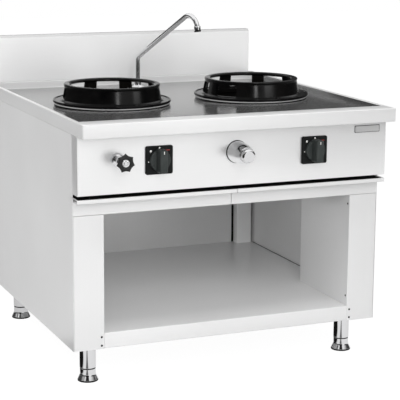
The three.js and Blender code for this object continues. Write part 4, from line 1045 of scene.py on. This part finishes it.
# Bare plate with a rounded edge on a thin black backing
def makeNameplate(v):
    low, high, _ = boxOf("nameplate")
    edge = np.array([0, 0, v["edge"], v["edge"] * 2])
    inset = v["border"] + edge
    depth = np.array([high[1] - v["sunk"], low[1] + v["edge"], low[1], low[1] + v["dish"]])
    plate = oblongRings(low[0] + inset, high[0] - inset, low[2] + inset, high[2] - inset, depth,
                        v["corner"] - edge * 0.5, "y")
    back = oblongRings(low[0], high[0], low[2], high[2], [high[1], high[1] - v["backing"]], v["corner"], "y")
    makePiece("nameplateBacking", [back], sealPlastic)
    makePiece("blankNameplate", [plate], blankPlate, stands="nameplate")


makeNameplate(nameplate)
print("controls made")

tap = {"radius": 0.0088, "slope": 30, "run": 0.296, "hookRadius": 0.050, "hookEnd": 82, "hookSteps": 32,
       "rise": 0.1136, "turn": -75, "corner": 0.014, "floorGap": 0.0006, "stem": 0.012, "flange": 0.024,
       "column": 0.014, "bore": 0.0093, "boreDepth": 0.017, "nozzle": 0.0115, "nozzleLength": 0.020,
       "sleeve": ((-0.5, 0.88), (-0.45, 0.97), (-0.42, 1), (0.30, 1), (0.44, 0.97), (0.5, 0.88)),
       "tip": ((0.22, 1.0), (0.24, 1.03), (0.5, 1.03), (0.53, 0.93))}


# Turned column, and a bar along a riser, a slope and an arc: middle + R (cos a, sin a) in the spout's plane
def makeTap(v):
    low, high, (x, y, _) = boxOf("tap_base")
    floor, top, column, bore = panHeight(y) + v["floorGap"], high[2], v["column"], v["bore"]
    base = turned([
        (0, low[2]), (v["stem"], low[2], 0.001), (v["stem"], floor), (v["flange"], floor, 0.0005),
        (v["flange"], floor + 0.003, 0.002), (0.016, floor + 0.0065, 0.004), (column, floor + 0.012, 0.003),
        (column, top - 0.001, 0.001), (0.011, top, 0.001), (bore, top), (bore, top - v["boreDepth"]),
        (0, top - v["boreDepth"])], (x, y, 0), "z", 64, 5)
    makePiece("tapBase", [base], chrome, stands="tap_base")
    turn, slope, hookRadius = math.radians(v["turn"]), math.radians(v["slope"]), v["hookRadius"]
    heading = np.array([math.cos(turn), math.sin(turn), 0.0])
    start = boxOf("tap_spout")[0][2]
    bend = floor + v["rise"]
    crest = bend + v["run"] * math.tan(slope)
    flat = softened([(0, start), (0, bend), (v["run"], crest)], v["corner"], 10)
    share = np.linspace(0, 1, v["hookSteps"] + 1)[1:]
    angle = math.pi / 2 + slope - share * (slope + math.radians(v["hookEnd"]))
    middle = np.array([v["run"] + hookRadius * math.sin(slope), crest - hookRadius * math.cos(slope)])
    hook = middle + hookRadius * np.stack([np.cos(angle), np.sin(angle)], 1)
    normal = np.cross(heading, [0, 0, 1.0])
    ahead = (hook[-1] - hook[-2]) / np.linalg.norm(hook[-1] - hook[-2])

    # points of the spout's plane (distance along the heading, height) in space
    def inSpace(q):
        return np.array([x, y, 0.0]) + q[:, :1] * heading + q[:, 1:] * np.array([0, 0, 1.0])

    # bar along the hook's end, for rows of place in nozzle lengths and radius in nozzle radii
    def onEnd(rows):
        along, wide = np.array(rows).T
        return roundBar(inSpace(hook[-1] + along[:, None] * v["nozzleLength"] * ahead), wide * v["nozzle"], normal, 40)

    spout = roundBar(inSpace(np.vstack([flat, hook])), v["radius"], normal, 32)
    makePiece("spoutTube", [spout, onEnd(v["sleeve"])], chrome, body="tap_spout", stands="tap_spout", smoothBelow=45)
    makePiece("spoutTip", [onEnd(v["tip"])], sealPlastic, body="tap_spout")


makeTap(tap)

pipes = {"manifold": 0.013, "manifoldCorner": 0.048, "water": 0.007, "corner": 0.024, "riserCorner": 0.014,
         "supplyBend": 0.0559, "riserRise": 0.043, "feed": 0.006, "feedCorner": 0.012, "tapStem": 0.0043,
         "tapStemLength": 0.028, "tapBody": 0.018, "tapEnd": 0.009}
upward = (0, 0, 1.0)


# Gas manifold and the water's way from its inlet to the stop valve, the push valve and the tap: bars along lines
# with softened corners
def makePipes(v):
    low, high, (_, _, z) = boxOf("gas_manifold")
    y, run, radius = low[1] + v["manifold"], high[0] - v["manifold"], v["water"]
    line = softened([(low[0], y, z), (run, y, z), (run, high[1], z)], v["manifoldCorner"], 10)
    makePiece("gasPipe", [roundBar(line, v["manifold"], upward)], tubeSteel, stands="gas_manifold")
    valve, valveHigh, _ = boxOf("stop_valve")
    low, high, (_, _, z) = boxOf("water_supply_pipe")
    x0, x1, bend = low[0] + radius, high[0] - radius, valveHigh[1] + v["supplyBend"]
    line = softened([(x0, high[1], z), (x0, bend, z), (x1, bend, z), (x1, valveHigh[1] + clear, z)], v["corner"], 8)
    makePiece("waterPipe", [roundBar(line, radius, upward)], tubeSteel, stands="water_supply_pipe")
    low, high, (_, y, _) = boxOf("valve_link_pipe")
    x0, x1, z = low[0] + radius, high[0] - radius, low[2] + radius
    line = softened([(x0, y, valve[2]), (x0, y, z), (x1, y, z), (x1, y, high[2])], v["corner"], 8)
    makePiece("linkPipe", [roundBar(line, radius, (0, 1, 0))], tubeSteel, stands="valve_link_pipe")
    low = boxOf("tap_riser_pipe")[0]
    tapLow, _, (tapX, tapY, _) = boxOf("tap_base")
    level = boxOf("push_valve")[2][2] + v["riserRise"]
    line = softened([(x1, y, low[2]), (x1, y, level), (tapX, tapY, level), (tapX, tapY, tapLow[2] - clear)],
                    v["riserCorner"], 6)
    makePiece("riserPipe", [roundBar(line, radius, np.cross([tapX - x1, tapY - y, 0], upward))], tubeSteel,
              stands="tap_riser_pipe")


# Feed pipe from a gas tap down and across to its burner, and the turned tap
def makeFeed(name, v):
    low = boxOf("burner_feed_" + name)[0]
    tapLow, tapHigh, (startX, _, z) = boxOf("gas_tap_" + name)
    head, _, (x, y, _) = boxOf("burner_" + name)
    startY, level = low[1] + v["feed"], low[2] + v["feed"]
    line = softened([(startX, startY, tapLow[2] - clear), (startX, startY, level), (x, y, level),
                     (x, y, head[2] - clear)], v["feedCorner"], 6)
    pipe = roundBar(line, v["feed"], np.cross([x - startX, y - startY, 0], upward), 20)
    sidePiece("feedPipe", "burner_feed", name, [pipe], brass)
    y0, y1, stem, wide = tapLow[1], tapHigh[1], v["tapStem"], v["tapBody"]
    stemFrom = y0 + v["tapStemLength"]
    body = turned([(0, stemFrom), (stem, stemFrom), (stem, y0, 0.0005), (wide, y0, 0.002), (wide, y1 - 0.018, 0.006),
                   (v["tapEnd"], y1, 0.002), (0, y1)], (startX, 0, z), "y", 40)
    sidePiece("gasTap", "gas_tap", name, [body], brass)


makePipes(pipes)
for name in sides:
    makeFeed(name, pipes)
print("tap and pipes made")

leg = {"tube": 0.0270, "plate": 0.004, "corner": 0.004, "edge": 0.0006, "raised": 0.008, "boreDepth": 0.08,
       "bore": 0.0063, "gap": 0.0030, "blackBand": 0.0258, "sealBore": 0.0062, "thread": 0.006, "flare": 0.0340,
       "neck": (0.0264, 0.0165), "top": 0.0260, "pad": 0.0003}


# Tube under a plate; flared foot on a threaded pin with a black seal at its top; pad
def makeLeg(place, v):
    low, high, (x, y, _) = boxOf("leg_" + place)
    r, foot, top = v["tube"], low[2] + v["raised"], high[2] - v["plate"]
    boreTop = low[2] + v["boreDepth"]
    tube = turned([(0, boreTop), (v["bore"], boreTop), (v["bore"], foot, 0.0004), (r - 0.001, foot, 0.0006),
                   (r, foot + 0.001, 0.0006), (r, top), (0, top)], (x, y, 0))
    inset = np.array([v["edge"], 0, 0, v["edge"]])
    height = np.array([top, top + v["edge"], high[2] - v["edge"], high[2]])
    plate = oblongRings(low[0] + inset, high[0] - inset, low[1] + inset, high[1] - inset, height, v["corner"] - inset)
    makePiece("legTube_" + place, [tube, plate], chrome, stands="leg_" + place)
    joint = low[2] - clear + v["raised"]
    under, flare, thread = joint - v["gap"], v["flare"], v["thread"]
    low, high, _ = boxOf("foot_" + place)
    b, (neck, neckUp) = low[2], v["neck"]
    bell = turned([(0, b), (flare - 0.0004, b, 0.0003), (flare, b + 0.0008, 0.0003), (neck, b + neckUp, 0.004),
                   (v["top"], under, 0.0008), (thread, under), (thread, high[2], 0.0006), (0, high[2])],
                  (x, y, 0), steps=6)
    makePiece("footBell_" + place, [bell], chrome, body="foot_" + place, stands="foot_" + place)
    sealLow, inner, outer = under + 0.0001, v["sealBore"], v["blackBand"]
    blackBand = turned([(inner, sealLow), (outer, sealLow, 0.0004), (outer, joint, 0.0004), (inner, joint)],
                  (x, y, 0), steps=3, closedLine=True)
    makePiece("footSeal_" + place, [blackBand], sealPlastic, body="foot_" + place)
    low, high, _ = boxOf("foot_pad_" + place)
    r = flare + v["pad"]
    pad = turned([(0, low[2]), (r, low[2], 0.0012), (r, high[2], 0.0008), (0, high[2])], (x, y, 0))
    makePiece("footPad_" + place, [pad], rubber, body="foot_" + place, stands="foot_pad_" + place)


for place in ("front_left", "front_right", "rear_left", "rear_right"):
    makeLeg(place, leg)

screw = {"radius": 0.0036, "height": 0.0018, "sunk": 0.0005, "flats": 20, "steps": 6, "dish": (0.45, 0.6),
         "middle": 0.5, "fromColumn": 0.010, "lipShares": (0.20, 0.75), "fromFront": 0.012, "low": 0.088, "high": 0.032,
         "onPost": 0.007, "belowPostTop": 0.15}


# Domed head with a sunk middle: r(s) = R cos s, h(s) = H sin s
def screwHead(v, axis, centre, outward):
    s = np.linspace(0, np.pi / 2, v["steps"])[:-2]
    radius, height, sunk = v["radius"], outward * v["height"], -outward * v["sunk"]
    dome = np.stack([radius * np.cos(s), height * np.sin(s)], 1)
    middle = [(radius * v["dish"][0], height * v["dish"][1]), (0, height * v["middle"])]
    return turned([(0, sunk), (radius, sunk), *dome, *middle], centre, axis, v["flats"])


# Dark heads on the shelf's lip and the columns' sides, bright ones on the rear posts
def makeScrews(v):
    column, columnHigh, _ = boxOf("front_column_right")
    shelfLow, shelfHigh, _ = boxOf("bottom_shelf")
    post, postHigh, _ = boxOf("rear_post_right")
    near = column[0] + v["fromColumn"]
    rise = shelfHigh[2] - shelfLow[2]
    darkHeads, brightHeads = [], []
    for side in sides.values():
        for share in v["lipShares"]:
            darkHeads.append(screwHead(v, "y", (side * near, column[1], shelfLow[2] + share * rise), -1))
        for z in (column[2] + v["low"], columnHigh[2] - v["high"]):
            darkHeads.append(screwHead(v, "x", (side * column[0], column[1] + v["fromFront"], z), -side))
        place = side * (post[0] + v["onPost"]), postHigh[1] - gaugeOf, postHigh[2] - v["belowPostTop"]
        brightHeads.append(screwHead(v, "y", place, -1))
    makePiece("screwsDark", darkHeads, sealPlastic)
    makePiece("screwsBright", brightHeads, chrome)


makeScrews(screw)
print("legs and screws made")

# how bright metal sees the paper, a painted reflection: rows of low, high and the x, y or distance where they are
# reached
paper = {"half": 14.0, "points": 5, "tone": (0.61, 0.63), "white": 1.12, "whiteShare": 0.86,
         "byY": (0.95, 0.62, -0.6, 0.8), "byX": (0.2, 0.88, -1.75, -1.35),
         "cornerX": (0.02, 1.0, -1.40, -1.20), "cornerY": (0.02, 1.0, -0.2, 0.1),
         "darkPatches": ((-0.756, -0.157), (0.19, -0.157)), "darkPatchReach": 0.27, "darkPatchEdge": 0.85, "darkPatchTone": 0.01,
         "stripStarts": (-0.473, 0.473), "stripY": -0.355, "stripWay": (-0.45, -0.893, 0.0), "stripShade": 0.85,
         "stripBeside": (1.0, 0.0, 0.025, 0.045), "stripFrom": (0.0, 1.0, 0.08, 0.12), "stripTo": (1.0, 0.0, 0.7, 0.8)}


# Level plane of two parameters, u and w each from -1 to 1
def makeFloor(v):
    share = np.linspace(-1, 1, v["points"])
    u, w = np.meshgrid(share, share)
    points = np.stack([u * v["half"], w * v["half"], u * 0], -1).reshape(-1, 3)
    mesh = bpy.data.meshes.new("studioFloor")
    mesh.from_pydata(points.tolist(), [], gridQuads(v["points"], v["points"], False, False).tolist())
    floor = bpy.data.objects.new("studioFloor", mesh)
    shown.collection.objects.link(floor)
    mesh.materials.append(floorPaper(v))


# White to the camera and plain paper to soft light. Metal sees a painted reflection in it: bright in front and greyer
# behind, with soft painted dark patches, and narrow painted dark strips that run out from the front legs
def floorPaper(v):
    made = Finish("floorPaper")
    made.tree.nodes.remove(made.shader)
    diffuse = made.node("BsdfDiffuse", {"Color": made.ramp(made.noise(1.5, 3.0), *v["tone"])})
    rays = made.node("LightPath").outputs
    x, y, _ = made.node("SeparateXYZ", {0: made.place}).outputs
    # painted reflection: the paper's brightness as metal mirrors it, with dark patches and strips painted in
    bright = made.times(made.ramp(y, *v["byY"]), made.ramp(x, *v["byX"]))
    bright = made.times(bright, made.maths("MAXIMUM", made.ramp(x, *v["cornerX"]), made.ramp(y, *v["cornerY"])))
    for patchCentre in v["darkPatches"]:
        away = made.vector("DISTANCE", made.place, (*patchCentre, 0))
        bright = made.times(bright, made.ramp(away, v["darkPatchTone"], 1.0, v["darkPatchReach"] * v["darkPatchEdge"], v["darkPatchReach"]))
    for legX in v["stripStarts"]:
        apart = made.vector("SUBTRACT", made.place, (legX, v["stripY"], 0))
        beside = made.vector("LENGTH", made.vector("CROSS_PRODUCT", apart, v["stripWay"]))
        along = made.vector("DOT_PRODUCT", apart, v["stripWay"])
        strip = made.times(made.ramp(beside, *v["stripBeside"]), made.ramp(along, *v["stripFrom"]))
        strip = made.times(strip, made.ramp(along, *v["stripTo"]))
        bright = made.times(bright, made.less(made.times(strip, v["stripShade"])))
    camera = rays["Is Camera Ray"]
    strength = made.maths("ADD", made.times(camera, v["white"]), made.times(made.less(camera), bright))
    glow = made.node("Emission", {"Strength": strength})
    share = made.maths("MAXIMUM", made.times(camera, v["whiteShare"]), rays["Is Glossy Ray"])
    mixed = made.node("MixShader", {0: share, 1: diffuse.outputs[0], 2: glow.outputs[0]})
    made.join(mixed.outputs[0], made.tree.nodes["Material Output"].inputs["Surface"])
    return made.material


# rows of low, high and the part of the direction where they are reached
backdrop = {"aheadY": (0.9, 0.0, -0.93, -0.70), "aheadX": (0.02, 1.0, -0.64, -0.46), "sky": (0.05, 1.0, 0.28, 0.55),
            "soft": (0.80, 0.55, -0.9, 0.2), "darkPatchTone": 0.02,
            "darkPatches": (((-0.72, -0.25, 0.62), 0.94, 0.97), ((-0.38, -0.87, 0.31), 0.90, 0.95))}


# White to the camera; metal sees the sky and a bright place in front, less the flags; the rest gets soft even light
def makeWorld(v):
    world = bpy.data.worlds.new("studioWorld")
    world.use_nodes = True
    shown.world = world
    made = NodeTree(world.node_tree)
    way = made.node("TexCoord").outputs["Generated"]
    x, y, z = made.node("SeparateXYZ", {0: way}).outputs

    def ramp(source, *row):
        return made.ramp(source, *row, "SMOOTHSTEP")

    ahead = made.times(ramp(y, *v["aheadY"]), ramp(x, *v["aheadX"]))
    mirrored = made.maths("MAXIMUM", ahead, ramp(z, *v["sky"]))
    for direction, start, end in v["darkPatches"]:
        toFlag = made.vector("DOT_PRODUCT", way, direction)
        mirrored = made.times(mirrored, ramp(toFlag, 1.0, v["darkPatchTone"], start, end))
    rays = made.node("LightPath").outputs
    metal = rays["Is Glossy Ray"]
    soft = ramp(x, *v["soft"])
    level = made.maths("ADD", made.times(metal, mirrored), made.times(made.less(metal), soft))
    back = world.node_tree.nodes["Background"].inputs
    made.join(made.maths("MAXIMUM", level, rays["Is Camera Ray"]), back["Strength"])
    back["Color"].default_value = (1, 1, 1, 1)


# place, aim, width and height, watts. The first two draw highlights and shine on the black parts alone;
# frontFill gives the first one's light to the rest, where metal doesn't mirror it
lights = {
    "keyBox": ((-0.74, -4.6, 2.8), (0.0, -0.1, 0.9), (0.44, 2.0), 42),
    "sideBox": ((0.60, -1.1, 1.35), (0.0, 0.0, 0.92), (0.42, 0.4), 2.6),
    "frontFill": ((-0.74, -4.6, 2.8), (0.0, -0.1, 0.9), (0.44, 2.0), 45),
    "topBox": ((0.2, -0.6, 3.4), (0.0, 0, 0.6), (2.4, 2.4), 24),
    "leftFill": ((-1.2, -2.8, 2.0), (0.0, -0.2, 0.5), (1.2, 1.0), 5),
    "lowFill": ((-0.80, -2.1, 1.05), (0.0, 0.2, 0.3), (0.7, 0.5), 10),
    "splashFill": ((0.40, -0.9, 2.2), (0.25, 0.6, 1.0), (0.8, 0.5), 8),
    "cabinetGlow": ((0.0, -0.10, 0.57), (0.0, -0.05, 0.18), (0.8, 0.6), 0.6),
    "sideFill": ((-1.6, 0.1, 1.65), (-0.55, 0.1, 0.8), (1.4, 0.4), 12),
}
mirroredLights = ("keyBox", "sideBox")
blackPieces = ("wokRing", "seatRing", "knobPlate", "knobGrip", "wheel")


# Area light aimed at a point: its back is the direction from the aim to the place
def makeLight(name, place, aim, size, watts, mirrored):
    data = bpy.data.lights.new(name, "AREA")
    data.shape, data.size, data.size_y, data.energy = "RECTANGLE", size[0], size[1], watts
    light = bpy.data.objects.new(name, data)
    place, aim = np.array(place, float), np.array(aim, float)
    back = (place - aim) / np.linalg.norm(place - aim)
    right = np.cross(upward, back)
    right /= np.linalg.norm(right)
    light.matrix_world = placed(right, np.cross(back, right), back, place)
    light.visible_camera, light.visible_glossy = False, mirrored
    shown.collection.objects.link(light)
    return light


makeFloor(paper)
makeWorld(backdrop)
blackParts = bpy.data.collections.new("blackParts")
for piece in shown.objects:
    if piece.name.startswith(blackPieces):
        blackParts.objects.link(piece)
for name, row in lights.items():
    light = makeLight(name, *row, name in mirroredLights)
    if name in mirroredLights:
        light.light_linking.receiver_collection = blackParts
print("studio made")

shown.view_settings.view_transform = "Standard"
